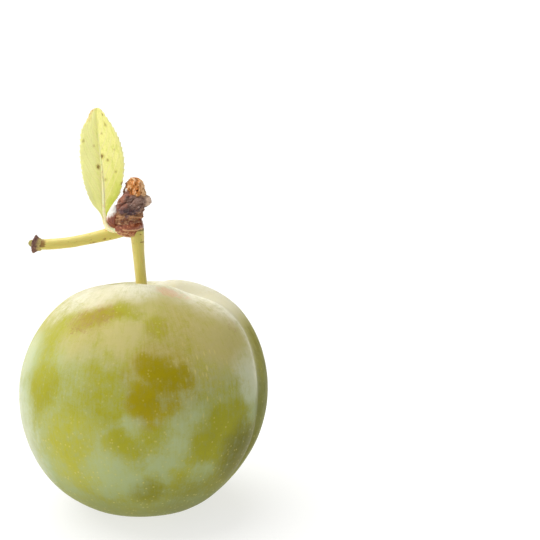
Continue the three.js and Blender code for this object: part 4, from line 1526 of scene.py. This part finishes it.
def scale_form(material):
    """A thin tongue on every point given, bent round the spur. The points carry each scale's own sizes."""
    form = Form("bud scale form")
    tall, thickness = form.size("Tall"), form.size("Thickness")
    lean, middle_height = form.size("Lean"), form.size("Middle Height")
    girth, spine = form.size("Spur Half Width"), form.size("Spur Spine")
    columns, rows = form.size("Points Across", int), form.size("Points Up", int)

    tongue = form.add(
        "GeometryNodeMeshCube",
        {},
        {"Size": (1.0, 1.0, 1.0), "Vertices X": columns, "Vertices Y": rows, "Vertices Z": 3},
    )
    tongue = form.store(tongue, "own", form.position())
    many = form.add("GeometryNodeInstanceOnPoints", {}, {"Points": form.given(), "Instance": tongue})
    many = form.add("GeometryNodeRealizeInstances", {}, {"Geometry": many})
    u, v, depth = form.recall("own", "FLOAT_VECTOR").parts()
    u, v, depth = u * 2.0, v + 0.5, 0.5 - depth
    tip, azimuth, wide = form.recall("tip"), form.recall("azimuth"), form.recall("wide")
    rise, slant, proud = form.recall("rise"), form.recall("slant"), form.recall("proud")

    ragged = 0.1 * (form.clouds(vector(u * 3.0, azimuth * 7.0, 0.0), 1.0, 3.0) - 0.5)
    edge = tip + MM * (rise * size_of(u) ** 3.0 + slant * u + ragged)
    height = edge + v * (tip + tall - edge)
    side = larger(1.0 - v * v * 0.35, 0.1)
    angle = azimuth + wide * u * side / girth
    off = proud * (1.0 - v) * (1.0 - u ** 4.0) + SCALE_GAP - SCALE_DIVES * v * v - SCALE_HUGS * u * u
    curl = 0.1 * bell(v * 5.0) + 0.05 * (form.clouds(vector(u * 2.0, v * 2.0, azimuth * 5.0), 1.0) - 0.5)
    thin = thickness * (1.0 - 0.6 * u ** 4.0) * ease(v, -0.15, 0.2, 0.35, 1.0)
    body = girth * ease(height, *SPUR_FOOT, SPUR_FOOT_SHARE, 1.0)
    radius = body + MM * (off + curl) - thin * depth
    x = spine + radius * cosine(angle)
    y = radius * sine(angle) * SPUR_FLATTENING
    c, s = cosine(lean), sine(lean)
    placed = vector(x, y * c + height * s, height * c - y * s + middle_height)
    many = form.store(many, "rim", larger(1.0 - v * 4.0, size_of(u) * 5.0 - 4.0))
    many = form.move(many, placed)
    form.finish(many, material)
    return form


def scale_finish(fruit, look):
    """Glossy red-brown, with pale dry rims, painted shade where each scale runs under the one above, and
    painted highlights in patches.
    """
    scale = Finish("bud_scale", coat_weight=0.25, coat_roughness=0.25)
    place = scale.place_in_fruit(fruit)
    grain = scale.clouds(place, 2.2, 3.0, 0.6)
    mottle = grain - 0.5
    x, y, z = place.parts()
    streaks = scale.clouds(vector(x * 3.5, y * 3.5, z * 0.8), 1.0, 3.0, 0.6)
    rim = scale.on_piece("rim")
    colour = blend(look.scale, tint(112, 50, 34), 0.55 * ease(streaks, 0.42, 0.66))
    # painted shade: darker towards the root, under the scale above
    colour = blend(colour, tint(98, 42, 30), 0.7 * ease(rim + 0.6 * mottle, -0.6, -1.6))
    # painted highlights: light tan patches
    colour = blend(colour, tint(216, 142, 98), 0.8 * ease(grain, 0.5, 0.7))
    colour = blend(colour, look.rim, ease(rim + 1.2 * mottle, 0.35, 0.95))
    scale.feed("Base Color", colour)
    scale.feed("Roughness", 0.34 + 0.3 * ease(rim, 0.3, 1.0) + 0.3 * mottle)
    scale.relief(streaks, 0.4, 0.06 * MM)
    return scale.material


class PLUM_OT_bud_scales(bpy.types.Operator):
    """Set the dry bud scales round the spur's foot"""

    bl_idname = "plum.bud_scales"
    bl_label = "Bud Scales"

    def execute(self, context):
        fruit, look = context.scene.plum_fruit, context.scene.plum_spur
        start = bpy.data.meshes.new("scale_points")
        start.from_pydata([(0.0, 0.0, 0.0)] * len(BUD_SCALES), [], [])
        rows = np.array(BUD_SCALES, float)
        own = {
            "tip": rows[:, 0] * MM,
            "azimuth": np.radians(rows[:, 1]),
            "wide": rows[:, 2] * MM,
            "rise": rows[:, 3],
            "slant": rows[:, 4],
            "proud": rows[:, 5],
        }
        for name, values in own.items():
            layer = start.attributes.new(name, "FLOAT", "POINT")
            layer.data.foreach_set("value", values.astype(np.float32))
        scales = grown(
            "bud_scales",
            scale_form(scale_finish(fruit, look)),
            start,
            tall=SCALE_TALL * MM,
            thickness=SCALE_THICKNESS * MM,
            lean=fruit.lean,
            middle_height=fruit.middle_height,
            spur_half_width=SPUR_FOOT_HALF_WIDTH * look.girth * MM,
            spur_spine=SPUR_FOOT_X * MM,
            points_across=56,
            points_up=40,
        )
        keep(scales, "bark")
        return {"FINISHED"}


# ------------------------------------------------------------------ leaf

# The leaf's midrib in the fruit's frame, in millimetres, from inside the spur to the tip.
RIB_PATH = (
    (-3.9, -1.15, 28.95),
    (-4.45, -1.27, 28.95),
    (-4.95, -1.34, 29.1),
    (-5.38, -1.35, 29.48),
    (-5.68, -1.3, 30.05),
    (-5.84, -1.2, 30.8),
    (-5.91, -1.08, 31.7),
    (-5.93, -0.93, 32.9),
    (-5.96, -0.6, 35.5),
    (-6.12, 0.1, 39.2),
    (-6.48, 1.1, 43.0),
    (-6.66, 2.2, 46.5),
    (-6.78, 3.0, 49.25),
)
BLADE_START = 0.13  # share of the midrib where the blade begins
RIB_AHEAD = 0.15  # how far before and after a point its direction is taken, in millimetres

# Outline of each half of the blade: share of its length, and its half-width there.
LEFT_OUTLINE = np.array(
    (
        (0, 0.35),
        (0.03, 0.48),
        (0.065, 0.8),
        (0.135, 1.95),
        (0.22, 2.72),
        (0.353, 3.4),
        (0.534, 3.6),
        (0.677, 3.3),
        (0.795, 2.9),
        (0.905, 1.72),
        (0.972, 1.1),
        (1, 0.35),
    )
)
RIGHT_OUTLINE = np.array(
    (
        (0, 0.35),
        (0.03, 0.45),
        (0.065, 0.7),
        (0.135, 1.6),
        (0.22, 2.8),
        (0.353, 3.55),
        (0.51, 3.95),
        (0.677, 3.6),
        (0.815, 2.6),
        (0.905, 1.62),
        (0.972, 0.9),
        (1, 0.35),
    )
)
TEETH = 21  # on each half
TEETH_BEGIN = (0.1, 0.24)  # shares of the blade's length between which they grow, and then fade
TEETH_END = (0.94, 1)
TOOTH_HOOK = 0.35  # how much further a tooth's tip stands out, against its depth
HOOK_FROM = 0.92  # share of a tooth where its tip begins
BLADE_ROWS = 400
BLADE_COLUMNS = 81
VEINS = 7  # side veins in each half
VEIN_REACH = 0.42  # share of the blade's length that a side vein climbs on its way out
VEIN_SPAN = 0.86  # share of the blade's length that the side veins start in
VEIN_STAGGER = 0.35  # how far the left half's veins are off the right half's, against their distance
VEIN_WIDTH = 0.008  # half-width of a side vein as a share of the blade's length
# Ripples of the blade: height in millimetres, turns of the wave in radians over its length, where the wave
# starts in the left and in the right half, and how fast it grows outwards.
RIPPLES = ((0.16, 9, 2.0, 0.0, 2), (0.07, 31, 1.0, 4.0, 3))
# The curl at the left half's foot: its height in millimetres, and where it is and how far it spreads, as
# shares of the blade's length.
CURL = (0.5, 0.24, 0.15)
QUILTING = 0.05  # how far the blade swells between its veins


def rib_at(shares):
    """Points and directions of the midrib at shares of its length."""
    fine = rounded(RIB_PATH, 60)
    steps = np.linalg.norm(np.diff(fine, axis=0), axis=1)
    travelled = np.concatenate([[0], np.cumsum(steps)])
    place = np.asarray(shares) * travelled[-1]

    def at(distance):
        return np.stack([np.interp(distance, travelled, fine[:, k]) for k in range(3)], axis=-1)

    forward = at(place + RIB_AHEAD) - at(place - RIB_AHEAD)
    return at(place), forward / np.linalg.norm(forward, axis=-1, keepdims=True)


def vein_pattern(share, across):
    """How near a point of the blade is to a side vein: 1 on it."""
    lane = (share - VEIN_REACH * np.abs(across) ** 1.4) * VEINS / VEIN_SPAN
    lane = lane + np.where(across < 0, VEIN_STAGGER, 0.0)
    off = np.abs(lane - np.round(lane)) * VEIN_SPAN / VEINS
    inside = eased(lane, 0.3, 0.6) * (1 - eased(lane, VEINS + 0.2, VEINS + 0.6))
    return hump(off / VEIN_WIDTH) * inside * (1 - 0.5 * np.abs(across))


def leaf_piece(look):
    share = np.linspace(0, 1, BLADE_ROWS)[:, None]
    across = np.linspace(-1, 1, BLADE_COLUMNS)[None, :]
    share, across = np.broadcast_arrays(share, across)
    middle, forward = rib_at(BLADE_START + (1 - BLADE_START) * share)
    leftwards = -np.cross((0.0, 1.0, 0.0), forward)
    leftwards /= np.linalg.norm(leftwards, axis=-1, keepdims=True)
    front = np.cross(forward, leftwards)
    left = across < 0
    out = np.abs(across)
    width = np.where(left, along(LEFT_OUTLINE, share, 1), along(RIGHT_OUTLINE, share, 1))
    within = (share * TEETH) % 1
    toothed = eased(share, *TEETH_BEGIN) * (1 - eased(share, *TEETH_END))
    depth = look.tooth_depth / MM
    tooth = depth * (within - 0.5 + TOOTH_HOOK * (within > HOOK_FROM)) * toothed
    width = np.maximum(width + tooth * out**6, 0.1)
    fold = np.where(left, look.left_fold, look.right_fold)
    curl, curl_at, curl_spread = CURL
    ripple = np.zeros_like(out)
    for wave, turns, left_start, right_start, growth in RIPPLES:
        phase = turns * share + np.where(left, left_start, right_start)
        ripple = ripple + wave * np.sin(phase) * out**growth
    ripple = ripple + curl * np.where(left, out**4, 0) * hump((share - curl_at) / curl_spread)
    vein = vein_pattern(share, across)
    swell = out * width
    lifted = swell * np.sin(fold) * (1 - 0.35 * out) + ripple
    quilt = QUILTING * np.sin(math.pi * np.minimum(out * 1.6, 1)) * (1 - vein)
    middle_face = (
        middle
        + leftwards * (np.where(left, 1, -1) * swell * np.cos(fold))[..., None]
        + front * (lifted + quilt)[..., None]
    )
    edge = np.sqrt(np.clip(1 - out**10, 0.06, 1)) * np.sqrt(np.clip(1 - share**40, 0.06, 1))
    half = (look.thickness / MM / 2) * edge
    upper = middle_face + front * (half + look.vein_height / MM * vein)[..., None]
    lower = middle_face - front * (half + 0.6 * look.vein_height / MM * vein)[..., None]
    points = np.concatenate([upper.reshape(-1, 3), lower.reshape(-1, 3)])
    faces = sheet_faces(BLADE_ROWS, BLADE_COLUMNS)
    kept = {"share": share, "across": across, "vein": vein}
    kept = {name: np.concatenate([values.ravel(), values.ravel()]) for name, values in kept.items()}
    return meshed("leaf_blade", in_world(points), faces, leaf_finish(look), **kept)


def sheet_faces(rows, columns):
    """Quads of an upper and a lower face of points, and of the rim between them."""
    below = rows * columns
    faces = []
    for row in range(rows - 1):
        for column in range(columns - 1):
            a = row * columns + column
            b, c, d = a + 1, a + 1 + columns, a + columns
            faces.append((a, b, c, d))
            faces.append((below + d, below + c, below + b, below + a))
    rim = list(range(columns - 1))
    rim += [row * columns + columns - 1 for row in range(rows - 1)]
    rim += [(rows - 1) * columns + column for column in range(columns - 1, 0, -1)]
    rim += [row * columns for row in range(rows - 1, 0, -1)]
    for k, a in enumerate(rim):
        b = rim[(k + 1) % len(rim)]
        faces.append((b, a, below + a, below + b))
    return faces


# Brown specks on the blade: share of its length, place across, half-width in millimetres, and how dark.
SPECKS = (
    (0.555, 0.08, 0.29, 0.85),
    (0.463, -0.16, 0.33, 0.75),
    (0.514, 0.3, 0.22, 0.45),
    (0.347, 0.14, 0.22, 0.35),
    (0.597, 0.64, 0.2, 0.2),
    (0.653, -0.26, 0.2, 0.25),
    (0.695, -0.82, 0.28, 0.35),
    (0.838, 0.54, 0.36, 0.3),
    (0.931, 0.7, 0.26, 0.7),
    (0.306, 0.98, 0.28, 0.7),
    (0.408, 0.62, 0.2, 0.35),
    (0.759, 0.2, 0.2, 0.3),
)


def leaf_finish(look):
    """Thin pale yellow-green blade, with lighter veins, specks, a dry tip, and painted light that makes its
    left half paler.
    """
    leaf = Finish(
        "leaf_blade",
        subsurface_weight=0.35,
        subsurface_radius=(1.0, 1.0, 0.4),
        subsurface_scale=0.5 * MM,
        specular_ior_level=0.4,
    )
    place = leaf.place()
    share, across = leaf.on_piece("share"), leaf.on_piece("across")
    vein = leaf.on_piece("vein")
    grain = leaf.clouds(place, 0.8, 3.0, 0.6)
    mottle = grain - 0.5
    fine = leaf.clouds(place, 4.0, 3.0, 0.6)
    streaks = leaf.clouds(vector(across * 7.0, share * 9.0, 0.0), 1.0, 3.0, 0.6)
    net = leaf.cells(place, 1.6, "DISTANCE_TO_EDGE")
    foot = ease(share + 0.5 * mottle, 0.55, 0.1)
    right = ease(across + 0.6 * mottle, 0.1, 0.8)
    colour = blend(look.blade, look.greener, larger(0.0, foot * (0.4 + 0.6 * right) + 1.1 * mottle))
    colour = blend(colour, look.greener, 0.45 * ease(streaks, 0.5, 0.7))
    colour = blend(colour, look.greener, 0.08 * ease(net, 0.12, 0.02))
    margin = ease(size_of(across) + 0.05 * mottle, 0.9, 0.98)
    left_foot = ease(across, -0.6, -0.95) * bell((share - 0.15) * 5.0)
    colour = blend(colour, tint(250, 244, 190), larger(0.6 * margin, 0.85 * left_foot))
    # painted light: the left half, which faces away from the light, made paler
    colour = blend(colour, tint(255, 254, 182), 0.5 * ease(across + 0.3 * mottle, 0.1, -0.4))
    colour = blend(colour, look.rib, 0.9 * vein)
    colour = blend(colour, look.rib, 0.85 * bell(across * 7.0) * ease(share, 0.75, 0.1, 0.0, 1.0))
    tip = ease(share - 0.3 * across + 0.35 * mottle, 1.02, 1.3)
    colour = blend(colour, look.scorch, 0.8 * tip)
    colour = blend(colour, tint(176, 118, 48), margin * ease(share + 0.4 * mottle, 0.93, 1.0))
    for at, beside_rib, size, dark in SPECKS:
        near = length(vector((share - at) * 15.0, (across - beside_rib) * 3.4, 0.0)) / size
        ragged = near + 1.6 * (fine - 0.5)
        colour = blend(colour, tint(196, 176, 60), 0.6 * dark * ease(ragged, 1.9, 0.6))
        colour = blend(colour, look.fleck, dark * ease(ragged, 1.0, 0.35))
    leaf.feed("Base Color", colour)
    leaf.feed("Roughness", 0.46 + 0.3 * mottle)
    leaf.relief(0.4 * fine + 0.2 * ease(net, 0.0, 0.12) + 0.6 * grain + 0.6 * streaks, 0.45, 0.09 * MM)
    return leaf.material


def rib_finish(look):
    """Pale, smooth and slightly fluted."""
    rib = Finish("leaf_rib", subsurface_weight=0.3, subsurface_scale=0.5 * MM)
    share = rib.on_piece("share")
    grain = rib.clouds(rib.place(), 1.4, 3.0)
    mottle = grain - 0.5
    colour = blend(tint(255, 246, 196), look.blade, ease(share + 0.4 * mottle, 0.15, 0.7, 0.0, 0.8))
    colour = blend(colour, tint(226, 200, 132), ease(grain, 0.52, 0.7, 0.0, 0.5))
    rib.feed("Base Color", colour)
    rib.feed("Roughness", 0.45 + 0.2 * mottle)
    rib.relief(grain, 0.2, 0.05 * MM)
    return rib.material


class PLUM_OT_leaf(bpy.types.Operator):
    """Grow the toothed leaf, its midrib and its stalk"""

    bl_idname = "plum.leaf"
    bl_label = "Leaf"

    def execute(self, context):
        look = context.scene.plum_leaf
        keep(leaf_piece(look), "leaf", "leaf")
        rib = stem(
            "leaf_rib",
            RIB_PATH,
            rib_finish(look),
            radius=0.44 * MM,
            tip_share=0.2,
            root_flare=0.15 * MM,
            root_length=1.6 * MM,
            tip_flare=0.0,
            tip_length=1.0 * MM,
            ribs=4.0,
            rib_height=0.012 * MM,
            relief=0.04 * MM,
            points_around=40,
            rings=300,
        )
        keep(rib, "leaf")
        return {"FINISHED"}


# ------------------------------------------------------------------ stage


FLOOR_HALF_WIDTH = 4.0  # in metres
# Where the lights stand, as directions from the fruit.
OVERHEAD_FROM = (-0.34, 0.3, 0.89)
FILL_FROM = (-0.85, -0.3, 0.43)
FILL_SOFTNESS = 70
SENSOR_WIDTH = 36.0  # of the camera, in millimetres
CAMERA_SEES = (0.01, 20.0)  # from how near to how far, in metres
CAMERA_TILT = 73.748  # upwards from straight down, in degrees
CAMERA_TURN = -5.0687  # towards the right, which sets the fruit left of the middle


class StageLook(bpy.types.PropertyGroup):
    """The floor, the light and the camera."""

    floor: colour_of("Floor", tint(160, 160, 158), "The pale floor")
    floor_glow: share_of("Floor Glow", 0.7, "How much the floor shines by itself, as a lit sheet does")
    shade: colour_of("Shaded Side", (0.05, 0.06, 0.02, 1.0), "The room's dark side, on the right")
    room: share_of("Room Light", 0.5, "Brightness of the light from all around")
    key: share_of("Key Light", 2.75, "Brightness of the large soft light overhead")
    fill: share_of("Fill Light", 0.65, "Brightness of the soft light from the left")
    softness: angle_of("Softness", 75, "How wide the overhead light looks from the plum")
    distance: length_of("Camera Distance", 260, "From the camera to the fruit's middle")
    elevation: angle_of("Camera Elevation", 21, "How far the camera looks down on the fruit")
    lens: bpy.props.FloatProperty(
        name="Lens", description="Focal length", default=101.13, subtype="DISTANCE_CAMERA"
    )


class PLUM_OT_stage(bpy.types.Operator):
    """Set out the floor, the lights and the camera"""

    bl_idname = "plum.stage"
    bl_label = "Stage"

    def execute(self, context):
        scene, look = context.scene, context.scene.plum_stage
        half = FLOOR_HALF_WIDTH
        mesh = bpy.data.meshes.new("floor")
        corners = [(-half, -half, 0), (half, -half, 0), (half, half, 0), (-half, half, 0)]
        mesh.from_pydata(corners, [], [(0, 1, 2, 3)])
        glow = look.floor_glow
        paint = Finish("pale_floor", roughness=0.9, specular_ior_level=0.1, emission_strength=glow)
        mottle = paint.clouds(paint.place(), 0.01, 2.0)
        paint.feed("Base Color", blend(look.floor, tint(158, 158, 157), ease(mottle, 0.3, 0.7)))
        paint.shader.inputs["Emission Color"].default_value = (1.0, 1.0, 0.99, 1.0)
        mesh.materials.append(paint.material)
        shown("floor", mesh)

        room = bpy.data.worlds.new("room")
        room.use_nodes = True
        walls = Tree(room.node_tree)
        walls.tree.nodes.clear()
        white = (1.0, 1.0, 1.0, 1.0)
        towards = walls.add("ShaderNodeTexCoord", {}, {}, "Generated")
        rightwards, _, upwards = towards.parts()
        shaded = ease(rightwards - 0.3 * upwards, 0.15, 0.75)
        shade = blend(white, look.shade, shaded)
        lit = walls.add("ShaderNodeBackground", {}, {"Color": shade, "Strength": look.room})
        seen = walls.add("ShaderNodeBackground", {}, {"Color": white, "Strength": 1.0})
        looked_at = walls.add("ShaderNodeLightPath", {}, {}, "Is Camera Ray")
        both = walls.add("ShaderNodeMixShader", {}, {0: looked_at, 1: lit, 2: seen})
        leave = walls.tree.nodes.new("ShaderNodeOutputWorld")
        walls.tree.links.new(both.socket, leave.inputs["Surface"])
        scene.world = room

        for name, power, way, softness in (
            ("overhead", look.key, OVERHEAD_FROM, look.softness),
            ("left_fill", look.fill, FILL_FROM, rad(FILL_SOFTNESS)),
        ):
            light = bpy.data.lights.new(name, "SUN")
            light.energy, light.angle = power, softness
            lamp = bpy.data.objects.new(name, light)
            lamp.rotation_euler = Vector(way).to_track_quat("Z", "Y").to_euler()
            scene.collection.objects.link(lamp)

        camera = bpy.data.objects.new("camera", bpy.data.cameras.new("camera"))
        camera.data.lens, camera.data.sensor_width = look.lens, SENSOR_WIDTH
        camera.data.clip_start, camera.data.clip_end = CAMERA_SEES
        away = look.distance
        middle = context.scene.plum_fruit.middle_height
        up, back = math.sin(look.elevation), math.cos(look.elevation)
        camera.location = (0.0, -away * back, middle + away * up)
        camera.rotation_euler = (rad(CAMERA_TILT), 0.0, rad(CAMERA_TURN))
        scene.collection.objects.link(camera)
        scene.camera = camera
        scene.view_settings.view_transform = "Standard"
        return {"FINISHED"}


# ------------------------------------------------------------------ add-on

LOOKS = {
    "plum_fruit": FruitLook,
    "plum_stalk": StalkLook,
    "plum_spur": SpurLook,
    "plum_leaf": LeafLook,
    "plum_stage": StageLook,
}
OPERATORS = (
    PLUM_OT_fruit,
    PLUM_OT_stalks,
    PLUM_OT_spur,
    PLUM_OT_bud_scales,
    PLUM_OT_leaf,
    PLUM_OT_stage,
)


class PLUM_PT_panel(bpy.types.Panel):
    """The plum's pieces, sizes and colours"""

    bl_idname = "PLUM_PT_panel"
    bl_label = "Greengage Plum"
    bl_space_type = "VIEW_3D"
    bl_region_type = "UI"
    bl_category = "Plum"

    def draw(self, context):
        for operator in OPERATORS:
            self.layout.operator(operator.bl_idname)
        for name, group in LOOKS.items():
            box = self.layout.box()
            box.label(text=name.replace("_", " ").title())
            for key in group.__annotations__:
                box.prop(getattr(context.scene, name), key)


def register():
    for group in LOOKS.values():
        bpy.utils.register_class(group)
    for name, group in LOOKS.items():
        setattr(bpy.types.Scene, name, bpy.props.PointerProperty(type=group))
    for made in (*OPERATORS, PLUM_PT_panel):
        bpy.utils.register_class(made)


def unregister():
    for made in (PLUM_PT_panel, *reversed(OPERATORS)):
        bpy.utils.unregister_class(made)
    for name, group in LOOKS.items():
        delattr(bpy.types.Scene, name)
        bpy.utils.unregister_class(group)


def main():
    register()
    bpy.ops.plum.fruit()
    bpy.ops.plum.stalks()
    bpy.ops.plum.spur()
    bpy.ops.plum.bud_scales()
    bpy.ops.plum.leaf()
    bpy.ops.plum.stage()


if __name__ == "__main__":
    main()
